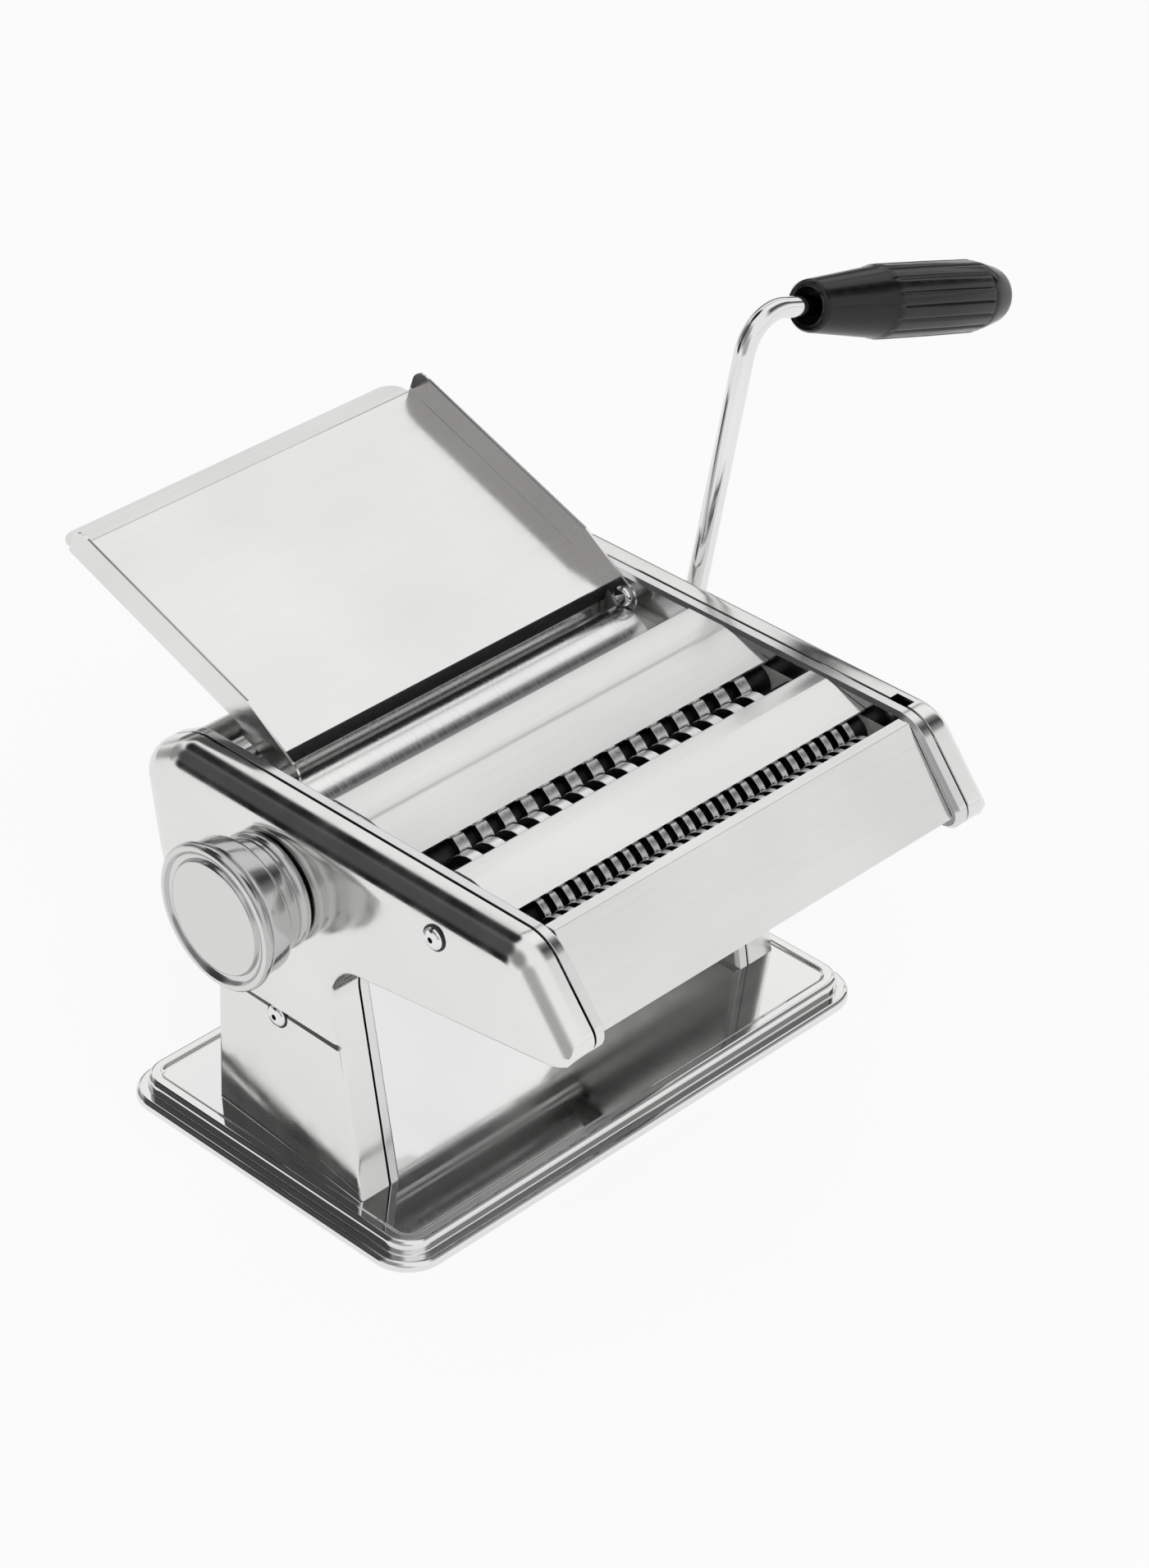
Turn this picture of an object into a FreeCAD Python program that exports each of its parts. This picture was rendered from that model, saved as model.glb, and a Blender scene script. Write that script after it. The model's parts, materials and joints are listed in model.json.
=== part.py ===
import FreeCAD, Part
import math
import os

# Hand-cranked pasta machine: two smooth rollers with a gap regulator, a wide
# and a fine cutter, a feed tray, and a chromed head on two legs and a base.
# Millimetres. X runs along the rollers, +X to the crank. -Y is the front,
# with the cutters, and +Z is up. The origin is the middle of the base, on the table.

V = FreeCAD.Vector
X_DIR = V(1, 0, 0)

# Head and side plates
inner_half = 77.0        # centre plane to the inside of a side plate
plate_t = 1.5
plate_flange = 4.3       # reach of the side plate's outward flange
plate_bend = 1.2
seam_gap = 0.7           # open seam between the plate's flange and the cover
head_top = 140.0
top_back_y = 46.0        # where the top edge turns down to the back
nose_top_y = -105.8
nose_low_y = -131.0
nose_low_z = 108.4
crotch_y = -22.5         # corner between the head's lower edge and the leg
crotch_z = 94.0
leg_front_y = -36.0
leg_back_y = 36.0
waist_y = 33.0           # corner between the leg and the back of the head
waist_z = 60.0
back_low_y = 60.0
back_low_z = 109.0
back_high_y = 63.0
back_high_z = 130.5
top_back_r = 16.0
nose_top_r = 14.0
nose_low_r = 6.0
crotch_r = 15.0
waist_r = 25.0
back_low_r = 10.0
back_high_r = 12.0

# Covers
cover_wall = 1.2
cover_flange = 6.0       # straight flange, before the bevel
cover_bevel = 6.0        # width of the bevel on the head's top, front and back
cover_depth = 12.0       # seam to the outer face
bevel_corner_r = 3.0
leg_fall = 5.0           # how far the leg's face falls back, front edge to back edge
step_z = 65.0            # step where the leg's face meets the head
crank_hole_r = 7.0
notch_length = 7.0
notch_width = 3.5

# Base
base_margin = 11.0       # base beyond a cover's outer face
base_depth = 136.0
base_corner_r = 14.0
base_top = 9.5
base_wall = 1.2
skirt_low = 1.0          # the skirt's clearance above the table
skirt_top = 4.4
rim_ledge = 4.2          # width of the ledge round the base
rim_chamfer = 1.2
bead_width = 3.0         # raised bead round the top panel
panel_drop = 0.8         # how far the top panel lies below the bead
rubber_foot_r = 8.0
rubber_foot_inset = 19.0
foot_sides = 12

# Smooth rollers
drive_y = 12.0
roller_z = 119.0
roller_r = 12.5
roller_inset = 5.0       # side plate to the end of a roller
gap_open = 2.6           # roller gap at setting 1
gap_travel = 2.2         # how much the regulator closes it
journal_r = 6.0
running_clear = 0.05
shaft_reach = 12.5       # drive shaft beyond the side plate
bush_half = 8.0          # half the side of a square bearing bush
slide_clear = 0.3
end_play = 0.3
scraper_t = 1.0
scraper_gap = 0.4
scraper_low_z = 98.0
scraper_lean = 3.0
scraper_bar = 3.0
scraper_turn = 15.0      # degrees from the roller's lowest line to a blade's edge

# Cutters
wide_front_y = -57.0
fine_front_y = -98.0
cutter_z = 126.0
cutter_r = 9.25
cutter_spacing = 16.0
cutter_journal_r = 5.0
cutter_core_r = 6.3
cutter_inset = 6.0       # side plate to the row of discs
cutter_tail = 2.5        # cutter shaft beyond its gear
wide_pitch = 9.4
fine_pitch = 5.1
disc_clear = 0.2         # side clearance between interleaved discs
wide_sides = 12          # flats round a disc
fine_sides = 8
core_sides = 6
block_half = 6.5         # half the height of a cutter bearing block
comb_t = 1.2
comb_bar = 5.0
comb_clear = 0.5

# Gears, in the crank side's cover
gear_offset = 3.5        # side plate's outside to the gears
gear_width = 5.5
gear_teeth = 12
gear_pressure = 25.0
gear_tip = 1.9            # roller gear's tip, beyond the roller's radius
gear_root = 2.2
gear_thinning = 0.5      # backlash at the pitch circle, on a tooth
cutter_tip = 1.25
cutter_root = 1.6
cutter_thinning = 0.3

# Crank
rod_r = 3.5
socket_depth = 22.0
crank_reach = 8.5        # cover to where the arm's line meets the roller's axis
crank_lean = 14.7        # degrees that the arm leans outwards
crank_arm = 103.5
grip_droop = 18.0        # degrees that the grip points down
crank_elbow_r = 9.0
crank_bend_r = 14.5
grip_start = 27.0        # from the upper corner to the grip's mouth
grip_cone = 30.0
grip_body = 56.0
grip_cap = 14.0
grip_mouth_r = 8.8
grip_r = 12.6
grip_mouth_bore = 6.4
grip_mouth = 6.0         # depth of the open mouth round the rod
grip_flutes = 14
flute_width = 1.2
flute_depth = 0.6
cap_collar = 4.0
cap_end_r = 9.4
retainer_r = 5.0
retainer_t = 1.5

# Gap regulator
regulator_y = -0.5
regulator_z = 111.0
spindle_r = 4.0
cam_low = 8.0            # cam radius at setting 1
cam_sweep = 320.0        # degrees of the regulator's whole turn
cam_side = 1.6           # carriage to the cam
cam_t = 4.0
cam_gap = 0.15
follower_r = 2.5
knob_r = 24.5
knob_length = 24.0
knob_gap = 0.6
knob_neck_r = 19.0
knob_shoulder_r = 22.6
knob_shoulder = 9.0
knob_rim = 3.6
knob_rim_width = 2.2
knob_dish = 1.8
knob_front = 4.5         # solid front of the knob, past its bore
knob_cavity_r = 14.0
knob_cavity = 13.0
index_r = 12.5
index_t = 5.0
spring_r = 9.0
spring_length = 4.0
ring_sides = 16          # sides of the hidden rings in the knob
carriage_t = 2.6
carriage_rim = 2.0
carriage_bar_y = 38.0
carriage_bar_z = 98.5
carriage_bar_r = 2.5
yoke_reach = 16.0        # front end of the yoke, ahead of the regulator's axis
yoke_half = 15.0
yoke_rail = 3.0

# Sheet parts on the head
sheet_t = 0.8
sheet_drop = 0.5         # top sheets below the head's top edge
side_gap = 0.2
rear_sheet_back = -10.5
rear_sheet_fold = -34.5
mid_sheet_back = -63.0
mid_sheet_fold = -79.0
deflector_r = 27.6
deflector_start = 48.5   # degrees round the deflector's arc, at the fold
lip_run = 2.5
lip_drop = 3.2
panel_top_y = -104.0
panel_top_z = 138.5
panel_low_y = -123.5
panel_low_z = 112.5
panel_flange = 4.0
back_inset = 3.0         # rear panel, inside the side plates' outline
back_reach = 11.0        # its length below the bend

# Feed tray
tray_front_y = 20.0
tray_front_z = 138.3
tray_angle = 20.0
tray_length = 100.0
tray_inset = 4.5         # side plate to the tray's sheet
tray_wall = 10.0
tray_lip = 8.0
tray_lip_r = 6.0
tray_lip_inset = 1.0
tray_corner_r = 5.0
pivot_ahead = 6.3        # tray pivot, ahead of the sheet's front edge
pivot_drop = 1.2
pivot_r = 2.5
ear_r = 5.5
ear_clear = 0.08
ear_root = 16.0
heel_drop = 3.7
stop_along = 8.5
stop_r = 2.0
pin_reach = 5.5

# Spacers
tie_rod_r = 3.4
post_r = 3.2
hole_clear = 0.1

# Places and reaches that follow from the sizes above
plate_out = inner_half + plate_t
seam_x = inner_half + plate_flange
cover_in = seam_x + seam_gap
cover_out = cover_in + cover_depth
base_length = 2 * (cover_out + base_margin)
rubber_foot_x = base_length / 2 - rubber_foot_inset
rubber_foot_y = base_depth / 2 - rubber_foot_inset
panel_z = base_top - panel_drop
rear_y = drive_y + 2 * roller_r + gap_open
roller_half = inner_half - roller_inset
cutter_half = inner_half - cutter_inset
tray_half = inner_half - tray_inset
shaft_end = plate_out + shaft_reach
crank_x = cover_out + crank_reach
carriage_x = plate_out + slide_clear
carriage_out = carriage_x + carriage_t
cam_x = carriage_out + cam_side
gear_x = plate_out + gear_offset
gear_out = gear_x + gear_width
block_out = gear_x - end_play
cutter_end = gear_out + cutter_tail
wide_rear_y = wide_front_y + cutter_spacing
fine_rear_y = fine_front_y + cutter_spacing
sheet_top = head_top - sheet_drop
tray_dir = V(0, math.cos(math.radians(tray_angle)), math.sin(math.radians(tray_angle)))
tray_up = V(0, -math.sin(math.radians(tray_angle)), math.cos(math.radians(tray_angle)))
tray_origin = V(0, tray_front_y, tray_front_z)
tie_rods = [(-110.0, 114.5), (-27.0, 106.0), (45.5, 101.0)]
left_posts = [(-72.0, 128.5), (2.7, 59.5)]
right_posts = [(-69.5, 110.0), (2.7, 59.5)]


def box(x0, x1, y0, y1, z0, z1):
    return Part.makeBox(x1 - x0, y1 - y0, z1 - z0, V(x0, y0, z0))


def rod_x(y, z, r, x0, x1):
    return Part.makeCylinder(r, x1 - x0, V(x0, y, z), X_DIR)


def rod_side(side, y, z, r, x0, x1):
    """A rod along X on one side: side is -1 on the left, +1 on the right."""
    low, high = sorted((side * x0, side * x1))
    return rod_x(y, z, r, low, high)


def join(shapes):
    body = shapes[0]
    for shape in shapes[1:]:
        body = body.fuse(shape)
    return body.removeSplitter()


def corner(before, point, after, radius):
    """Start, middle and end of the arc that rounds a corner."""
    to_before = (before - point).normalize()
    to_after = (after - point).normalize()
    half = to_before.getAngle(to_after) / 2
    reach = radius / math.tan(half)
    middle = (to_before + to_after).normalize()
    centre = point + middle * (radius / math.sin(half))
    return point + to_before * reach, centre - middle * radius, point + to_after * reach


def rounded_edges(points, radii, closed):
    """Straight runs joined by tangent arcs; a radius of 0 leaves a corner sharp."""
    count = len(points)
    arcs = []
    for i in range(count):
        if radii[i] == 0:
            arcs.append((points[i], None, points[i]))
        else:
            arcs.append(corner(points[i - 1], points[i], points[(i + 1) % count], radii[i]))
    edges = []
    for i in range(count):
        start, middle, end = arcs[i]
        if middle is not None:
            edges.append(Part.Arc(start, middle, end).toShape())
        if closed or i < count - 1:
            edges.append(Part.LineSegment(end, arcs[(i + 1) % count][0]).toShape())
    return edges


def wire_yz(points, radii, x):
    vectors = [V(x, y, z) for y, z in points]
    return Part.Wire(rounded_edges(vectors, radii, True))


def prism_x(points, radii, x0, x1):
    face = Part.Face(wire_yz(points, radii, x0))
    return face.extrude(V(x1 - x0, 0, 0))


def sharp_prism(points, x0, x1):
    return prism_x(points, [0] * len(points), x0, x1)


def inset(points, amounts):
    """A polygon with each side moved inwards by its own amount, side i after point i."""
    count = len(points)
    area = 0.0
    for i in range(count):
        (y0, z0), (y1, z1) = points[i], points[(i + 1) % count]
        area += y0 * z1 - y1 * z0
    sign = 1.0 if area > 0 else -1.0
    lines = []
    for i in range(count):
        (y0, z0), (y1, z1) = points[i], points[(i + 1) % count]
        length = math.hypot(y1 - y0, z1 - z0)
        normal = (-sign * (z1 - z0) / length, sign * (y1 - y0) / length)
        lines.append((normal, normal[0] * y0 + normal[1] * z0 + amounts[i]))
    moved = []
    for i in range(count):
        (a0, b0), c0 = lines[i - 1]
        (a1, b1), c1 = lines[i]
        det = a0 * b1 - a1 * b0
        moved.append(((c0 * b1 - c1 * b0) / det, (a0 * c1 - a1 * c0) / det))
    return moved


def revolve_x(profile, y, z):
    """A solid of revolution from (x, radius) points about an axis along X."""
    points = [V(x, y, z + r) for x, r in profile]
    face = Part.Face(Part.makePolygon(points + points[:1]))
    return face.revolve(V(0, y, z), X_DIR, 360)


# Side plates, covers and base

def head_outline():
    points = [
        (top_back_y, head_top), (nose_top_y, head_top), (nose_low_y, nose_low_z),
        (crotch_y, crotch_z), (leg_front_y, panel_z), (leg_back_y, panel_z),
        (waist_y, waist_z), (back_low_y, back_low_z), (back_high_y, back_high_z)]
    radii = [top_back_r, nose_top_r, nose_low_r, crotch_r, 0, 0,
             waist_r, back_low_r, back_high_r]
    return points, radii


def shrunk(radii, amount):
    """Radii of an outline moved inwards: outer corners tighten, the two inner ones open."""
    moved = []
    for i, radius in enumerate(radii):
        if radius == 0:
            moved.append(0)
        elif i in (3, 6):
            moved.append(radius + amount)
        else:
            moved.append(max(radius - amount, bevel_corner_r))
    return moved


def cover_form(side, wall):
    """The cover's outside, or with a wall its hollow."""
    outline, radii = head_outline()
    points = inset(outline, [wall] * len(outline))
    radii = shrunk(radii, wall)
    bevels = [cover_bevel, cover_bevel, 0, 0, 0, 0, 0, cover_bevel, cover_bevel]
    narrow = inset(points, bevels)
    narrow_radii = shrunk(radii, cover_bevel)
    narrow_radii[3] = radii[3]
    narrow_radii[6] = radii[6]
    sections = [
        wire_yz(points, radii, side * (cover_in - wall)),
        wire_yz(points, radii, side * (cover_in + cover_flange)),
        wire_yz(narrow, narrow_radii, side * (cover_out - wall))]
    form = Part.makeLoft(sections, True, True)
    return form.cut(leg_wedge(side, wall))


def leg_wedge(side, wall):
    """What is taken off so that the leg's face falls back below the step."""
    slope = leg_fall / (leg_back_y - leg_front_y)
    past = leg_back_y - leg_front_y
    front = leg_front_y - past
    back = leg_back_y + past
    face = cover_out - wall
    corners = [
        V(side * (face + slope * past), front, 0),
        V(side * (face - leg_fall - slope * past), back, 0),
        V(side * (face + past), back, 0),
        V(side * (face + past), front, 0)]
    plan = Part.Face(Part.makePolygon(corners + corners[:1]))
    return plan.extrude(V(0, 0, step_z + wall))


def cover(side):
    shell = cover_form(side, 0).cut(cover_form(side, cover_wall))
    if side < 0:
        return shell.cut(rod_side(side, regulator_y, regulator_z, spindle_r + slide_clear,
                                  cover_in, cover_out + cover_wall))
    for y, z in ((drive_y, roller_z), (wide_front_y, cutter_z), (fine_front_y, cutter_z)):
        shell = shell.cut(rod_x(y, z, crank_hole_r, cover_in, cover_out + cover_wall))
    notch_back = nose_top_y + nose_top_r
    notch = box(cover_in - cover_wall, cover_in + notch_width, notch_back - notch_length, notch_back,
                head_top - 2 * cover_wall, head_top + cover_wall)
    return shell.cut(notch)


def through_plate(side, y0, y1, z0, z1):
    """A rectangular opening through a side plate."""
    near, far = sorted((side * (inner_half - plate_t), side * (plate_out + plate_t)))
    return box(near, far, y0, y1, z0, z1)


def side_plate(side):
    """A plate with a flange all round, which also stands on the base."""
    outline, radii = head_outline()
    bend = inset(outline, [plate_bend] * len(outline))
    form = Part.makeLoft([
        wire_yz(bend, shrunk(radii, plate_bend), side * inner_half),
        wire_yz(outline, radii, side * (inner_half + plate_bend)),
        wire_yz(outline, radii, side * seam_x)], True, True)
    hollow = prism_x(inset(outline, [plate_t] * len(outline)), shrunk(radii, plate_t),
                     side * plate_out, side * (seam_x + plate_t))
    plate = form.cut(hollow)
    fit = bush_half + hole_clear
    slide = bush_half + slide_clear
    bar = carriage_bar_r + slide_clear
    openings = [
        (drive_y - fit, drive_y + fit, roller_z - fit, roller_z + fit),
        (rear_y - slide - gap_travel, rear_y + slide, roller_z - slide, roller_z + slide),
        (carriage_bar_y - bar - gap_travel, carriage_bar_y + bar,
         carriage_bar_z - bar, carriage_bar_z + bar)]
    for front_y in (wide_front_y, fine_front_y):
        openings.append((front_y - block_half - hole_clear,
                         front_y + cutter_spacing + block_half + hole_clear,
                         cutter_z - block_half - hole_clear, cutter_z + block_half + hole_clear))
    for y0, y1, z0, z1 in openings:
        plate = plate.cut(through_plate(side, y0, y1, z0, z1))
    if side < 0:
        plate = plate.cut(rod_side(side, regulator_y, regulator_z, spindle_r + running_clear,
                                   inner_half - plate_t, plate_out + plate_t))
    return plate


def rounded_plan(shrink, z):
    half_x = base_length / 2 - shrink
    half_y = base_depth / 2 - shrink
    points = [V(half_x, half_y, z), V(-half_x, half_y, z), V(-half_x, -half_y, z), V(half_x, -half_y, z)]
    return Part.Wire(rounded_edges(points, [base_corner_r - shrink] * 4, True))


def plan_block(shrink, z0, z1):
    return Part.Face(rounded_plan(shrink, z0)).extrude(V(0, 0, z1 - z0))


def plan_taper(shrink, z0, shrink_top, z1):
    return Part.makeLoft([rounded_plan(shrink, z0), rounded_plan(shrink_top, z1)], True, True)


def base_shell():
    """A pressed tray, upside down: a skirt, a ledge, and a top panel inside a raised bead."""
    edge = rim_ledge + rim_chamfer
    form = join([
        plan_block(0, skirt_low, skirt_top - rim_chamfer),
        plan_taper(0, skirt_top - rim_chamfer, rim_chamfer, skirt_top),
        plan_block(rim_ledge, skirt_top - rim_chamfer, base_top - rim_chamfer),
        plan_taper(rim_ledge, base_top - rim_chamfer, edge, base_top)])
    recess = plan_taper(edge + bead_width + panel_drop, panel_z, edge + bead_width, base_top)
    skirt_room = plan_block(base_wall, 0, skirt_top - base_wall)
    panel_room = plan_block(rim_ledge + base_wall, 0, panel_z - base_wall)
    return form.cut(recess).cut(skirt_room).cut(panel_room)


def rubber_feet():
    feet = []
    for x in (-rubber_foot_x, rubber_foot_x):
        for y in (-rubber_foot_y, rubber_foot_y):
            foot = Part.Face(Part.makePolygon(ring_points(x, y, rubber_foot_r, foot_sides)))
            feet.append(foot.extrude(V(0, 0, panel_z - base_wall)))
    return Part.makeCompound(feet)


def ring_points(x, y, r, sides):
    """A closed ring of points on the table."""
    points = []
    for i in range(sides + 1):
        angle = 2 * math.pi * i / sides
        points.append(V(x + r * math.cos(angle), y + r * math.sin(angle), 0))
    return points


# Spacers between the plates, and from the plates to the covers

def polygon_x(y, z, r, sides, x0, x1):
    points = []
    for i in range(sides):
        angle = 2 * math.pi * (i + 0.5) / sides
        points.append((y + r * math.cos(angle), z + r * math.sin(angle)))
    return sharp_prism(points, x0, x1)


def spacers():
    """Hexagonal bars that hold the two side plates apart."""
    return Part.makeCompound([polygon_x(y, z, tie_rod_r, 6, -inner_half, inner_half) for y, z in tie_rods])


def cover_posts():
    """Hexagonal posts, each from a side plate to the inside of its cover."""
    posts = []
    for side, places in ((-1, left_posts), (1, right_posts)):
        room = cover_form(side, cover_wall)
        for y, z in places:
            bar = polygon_x(y, z, post_r, 6, side * plate_out, side * cover_out)
            low, high = sorted((side * plate_out, side * cover_in))
            open_room = box(low, high, y - post_r, y + post_r, z - post_r, z + post_r)
            posts.append(bar.common(open_room.fuse(room)).removeSplitter())
    return Part.makeCompound(posts)


# Smooth rollers and their bearings

def drive_roller():
    """The driven roller, its shaft and gear in one, with the crank's socket in its end."""
    y = drive_y
    body = join([
        rod_x(y, roller_z, roller_r, -roller_half, roller_half),
        rod_x(y, roller_z, journal_r, -plate_out, shaft_end),
        roller_gear(y, 0)])
    return body.cut(rod_x(y, roller_z, rod_r + running_clear, shaft_end - socket_depth, shaft_end))


def rear_roller():
    y = rear_y
    return join([
        rod_x(y, roller_z, roller_r, -roller_half, roller_half),
        rod_x(y, roller_z, journal_r, -carriage_out, gear_out),
        roller_gear(y, 180.0 / gear_teeth)])


def roller_bush(side, y, end):
    """A square bush, from beside the roller's end out through the side plate."""
    start = roller_half + end_play
    near, far = sorted((side * start, side * end))
    body = box(near, far, y - bush_half, y + bush_half, roller_z - bush_half, roller_z + bush_half)
    return body.cut(rod_x(y, roller_z, journal_r + running_clear, near, far))


def drive_bushes():
    return Part.makeCompound([roller_bush(-1, drive_y, plate_out), roller_bush(1, drive_y, gear_x - end_play)])


def rear_bushes():
    return Part.makeCompound([roller_bush(side, rear_y, carriage_out) for side in (-1, 1)])


def blade(y, edge_angle, foot_y):
    """A scraper: a thin blade that stops just short of a roller's underside."""
    reach = roller_r + scraper_gap
    angle = math.radians(edge_angle)
    edge = (y + reach * math.cos(angle), roller_z + reach * math.sin(angle))
    points = [edge, (edge[0] + scraper_t / 2, edge[1] - scraper_t),
              (foot_y + scraper_t, scraper_low_z), (foot_y, scraper_low_z)]
    return sharp_prism(points, -roller_half, roller_half)


def front_scraper():
    foot_y = drive_y + scraper_lean
    bar = box(-inner_half, inner_half, foot_y - scraper_bar, foot_y + scraper_t,
              scraper_low_z - scraper_bar, scraper_low_z)
    return join([blade(drive_y, 270 + scraper_turn, foot_y), bar])


def rear_scraper():
    edge = blade(rear_y, 270 - scraper_turn, carriage_bar_y - scraper_t)
    return edge.cut(rod_x(carriage_bar_y, carriage_bar_z, carriage_bar_r + running_clear,
                          -roller_half, roller_half))


# Gap regulator and the carriage of the rear roller

def carriage_plate(side):
    """The plate that carries one end of the rear roller, and on the left the cam's yoke."""
    near, far = sorted((side * carriage_x, side * carriage_out))
    back = rear_y + bush_half + carriage_rim
    front = rear_y - bush_half - carriage_rim
    low = carriage_bar_z - carriage_bar_r - carriage_rim
    top = roller_z + bush_half + carriage_rim
    plate = sharp_prism([
        (front, top), (back, top), (back, roller_z - bush_half),
        (carriage_bar_y + carriage_bar_r + carriage_rim, low),
        (carriage_bar_y - carriage_bar_r - carriage_rim, low), (front, roller_z - bush_half)], near, far)
    if side < 0:
        plate = join([plate, yoke(near, far, front)])
    seat = bush_half + hole_clear / 2
    plate = plate.cut(box(near, far, rear_y - seat, rear_y + seat, roller_z - seat, roller_z + seat))
    return plate.cut(rod_x(carriage_bar_y, carriage_bar_z, carriage_bar_r + running_clear, near, far))


def yoke(near, far, back):
    """The frame that goes round the cam, with the follower at its front."""
    front = regulator_y - yoke_reach
    low = regulator_z - yoke_half
    high = regulator_z + yoke_half
    frame = box(near, far, front, back + yoke_rail, low, high)
    window = box(near, far, front + yoke_rail, back - yoke_rail, low + yoke_rail, high - yoke_rail)
    follower_y = regulator_y - cam_low - cam_gap - follower_r
    follower = rod_side(-1, follower_y, regulator_z, follower_r, carriage_x, cam_x + cam_t)
    seat = box(near, far, front, follower_y, regulator_z - follower_r, regulator_z + follower_r)
    return join([frame.cut(window), seat, follower])


def carriage_bar():
    return rod_x(carriage_bar_y, carriage_bar_z, carriage_bar_r, -carriage_out, carriage_out)


def spindle():
    """The regulator's shaft, from the left side plate out to the knob."""
    return rod_side(-1, regulator_y, regulator_z, spindle_r, inner_half, cover_out + knob_length - knob_front)


def gap_cam():
    """A spiral cam: its radius at the follower grows evenly as the regulator turns."""
    def on_cam(turn):
        radius = cam_low + gap_travel * turn / cam_sweep
        angle = math.radians(180 - turn)
        return V(-cam_x, regulator_y + radius * math.cos(angle), regulator_z + radius * math.sin(angle))

    arcs = 5
    step = cam_sweep / arcs
    edges = []
    for i in range(arcs):
        edges.append(Part.Arc(on_cam(i * step), on_cam((i + 0.5) * step), on_cam((i + 1) * step)).toShape())
    edges.append(Part.LineSegment(on_cam(cam_sweep), on_cam(0)).toShape())
    cam = Part.Face(Part.Wire(edges)).extrude(V(-cam_t, 0, 0))
    return cam.cut(rod_side(-1, regulator_y, regulator_z, spindle_r + hole_clear / 2, cam_x, cam_x + cam_t))


def ring_side(r_out, r_in, x0, x1):
    """A many-sided ring round the regulator's axis, on the left."""
    outer = polygon_x(regulator_y, regulator_z, r_out, ring_sides, -x0, -x1)
    return outer.cut(rod_side(-1, regulator_y, regulator_z, r_in, x0, x1))


def index_ring():
    return ring_side(index_r, spindle_r + slide_clear, cover_out, cover_out + index_t)


def knob():
    """A turned knob: stepped neck, a thick rim and a dished face, hollow at the back."""
    back = cover_out + knob_gap
    face = cover_out + knob_length
    shoulder = face - knob_rim - knob_shoulder
    profile = [
        (back, 0), (back, knob_neck_r), (shoulder, knob_neck_r), (shoulder, knob_shoulder_r),
        (face - knob_rim, knob_shoulder_r), (face - knob_rim, knob_r), (face, knob_r),
        (face, knob_r - knob_rim_width), (face - knob_dish, knob_r - knob_rim_width - knob_dish),
        (face - knob_dish, 0)]
    body = revolve_x([(-x, r) for x, r in profile], regulator_y, regulator_z)
    cavity = polygon_x(regulator_y, regulator_z, knob_cavity_r, ring_sides, -back, -(back + knob_cavity))
    bore = rod_side(-1, regulator_y, regulator_z, spindle_r + running_clear, back, face - knob_front)
    return body.cut(cavity).cut(bore)


def knob_spring():
    """The spring that holds the knob in, at its closed length."""
    seat = cover_out + knob_gap + knob_cavity
    return ring_side(spring_r, spindle_r + slide_clear, seat - spring_length, seat)


# Cutters, their bearing blocks and combs

def disc_starts(pitch, shifted):
    """Where each disc of a cutter starts along X: the mating cutter is half a pitch along."""
    width = pitch / 2 - disc_clear
    count = int((2 * cutter_half - width) / pitch)
    first = -(count - 1) * pitch / 2 - width / 2 - pitch / 4
    if shifted:
        first += pitch / 2
    return [first + i * pitch for i in range(count)], width


def cutter(y, pitch, sides, shifted, turn):
    """A row of discs on a core, with journals and a gear in one."""
    starts, width = disc_starts(pitch, shifted)
    outer = inner_half - end_play
    pieces = [
        polygon_x(y, cutter_z, cutter_core_r, core_sides, -outer, outer),
        rod_x(y, cutter_z, cutter_journal_r, -block_out, -outer),
        rod_x(y, cutter_z, cutter_journal_r, outer, cutter_end),
        cutter_gear(y, turn)]
    for start in starts:
        pieces.append(polygon_x(y, cutter_z, cutter_r, sides, start, start + width))
    return pieces[0].multiFuse(pieces[1:]).removeSplitter()


def driven_cutter(y, pitch, sides):
    """The front cutter of a pair, with a socket for the crank in its end."""
    socket = rod_x(y, cutter_z, rod_r + running_clear, cutter_end - socket_depth, cutter_end)
    return cutter(y, pitch, sides, False, 0).cut(socket)


def paired_cutter(y, pitch, sides):
    return cutter(y, pitch, sides, True, 180.0 / gear_teeth)


def bearing_blocks(front_y):
    blocks = []
    rear = front_y + cutter_spacing
    for side in (-1, 1):
        near, far = sorted((side * inner_half, side * block_out))
        block = box(near, far, front_y - block_half, rear + block_half,
                    cutter_z - block_half, cutter_z + block_half)
        for y in (front_y, rear):
            block = block.cut(rod_x(y, cutter_z, cutter_journal_r + running_clear, near, far))
        blocks.append(block)
    return Part.makeCompound(blocks)


def comb(y, pitch, shifted):
    """A scraper comb whose fingers stand in a cutter's grooves."""
    starts, width = disc_starts(pitch, shifted)
    finger = width - 2 * disc_clear
    top = cutter_z - cutter_core_r - comb_clear
    low = cutter_z - cutter_r - comb_clear
    bar = box(-inner_half, inner_half, y - comb_t / 2, y + comb_t / 2, low - comb_bar, low)
    fingers = []
    for start in starts[:-1]:
        middle = start + width / 2 + pitch / 2
        fingers.append(box(middle - finger / 2, middle + finger / 2, y - comb_t / 2, y + comb_t / 2, low, top))
    return bar.multiFuse(fingers).removeSplitter()


def combs(front_y, pitch):
    rear = front_y + cutter_spacing
    return Part.makeCompound([comb(front_y, pitch, False), comb(rear, pitch, True)])


# Gears

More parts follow.
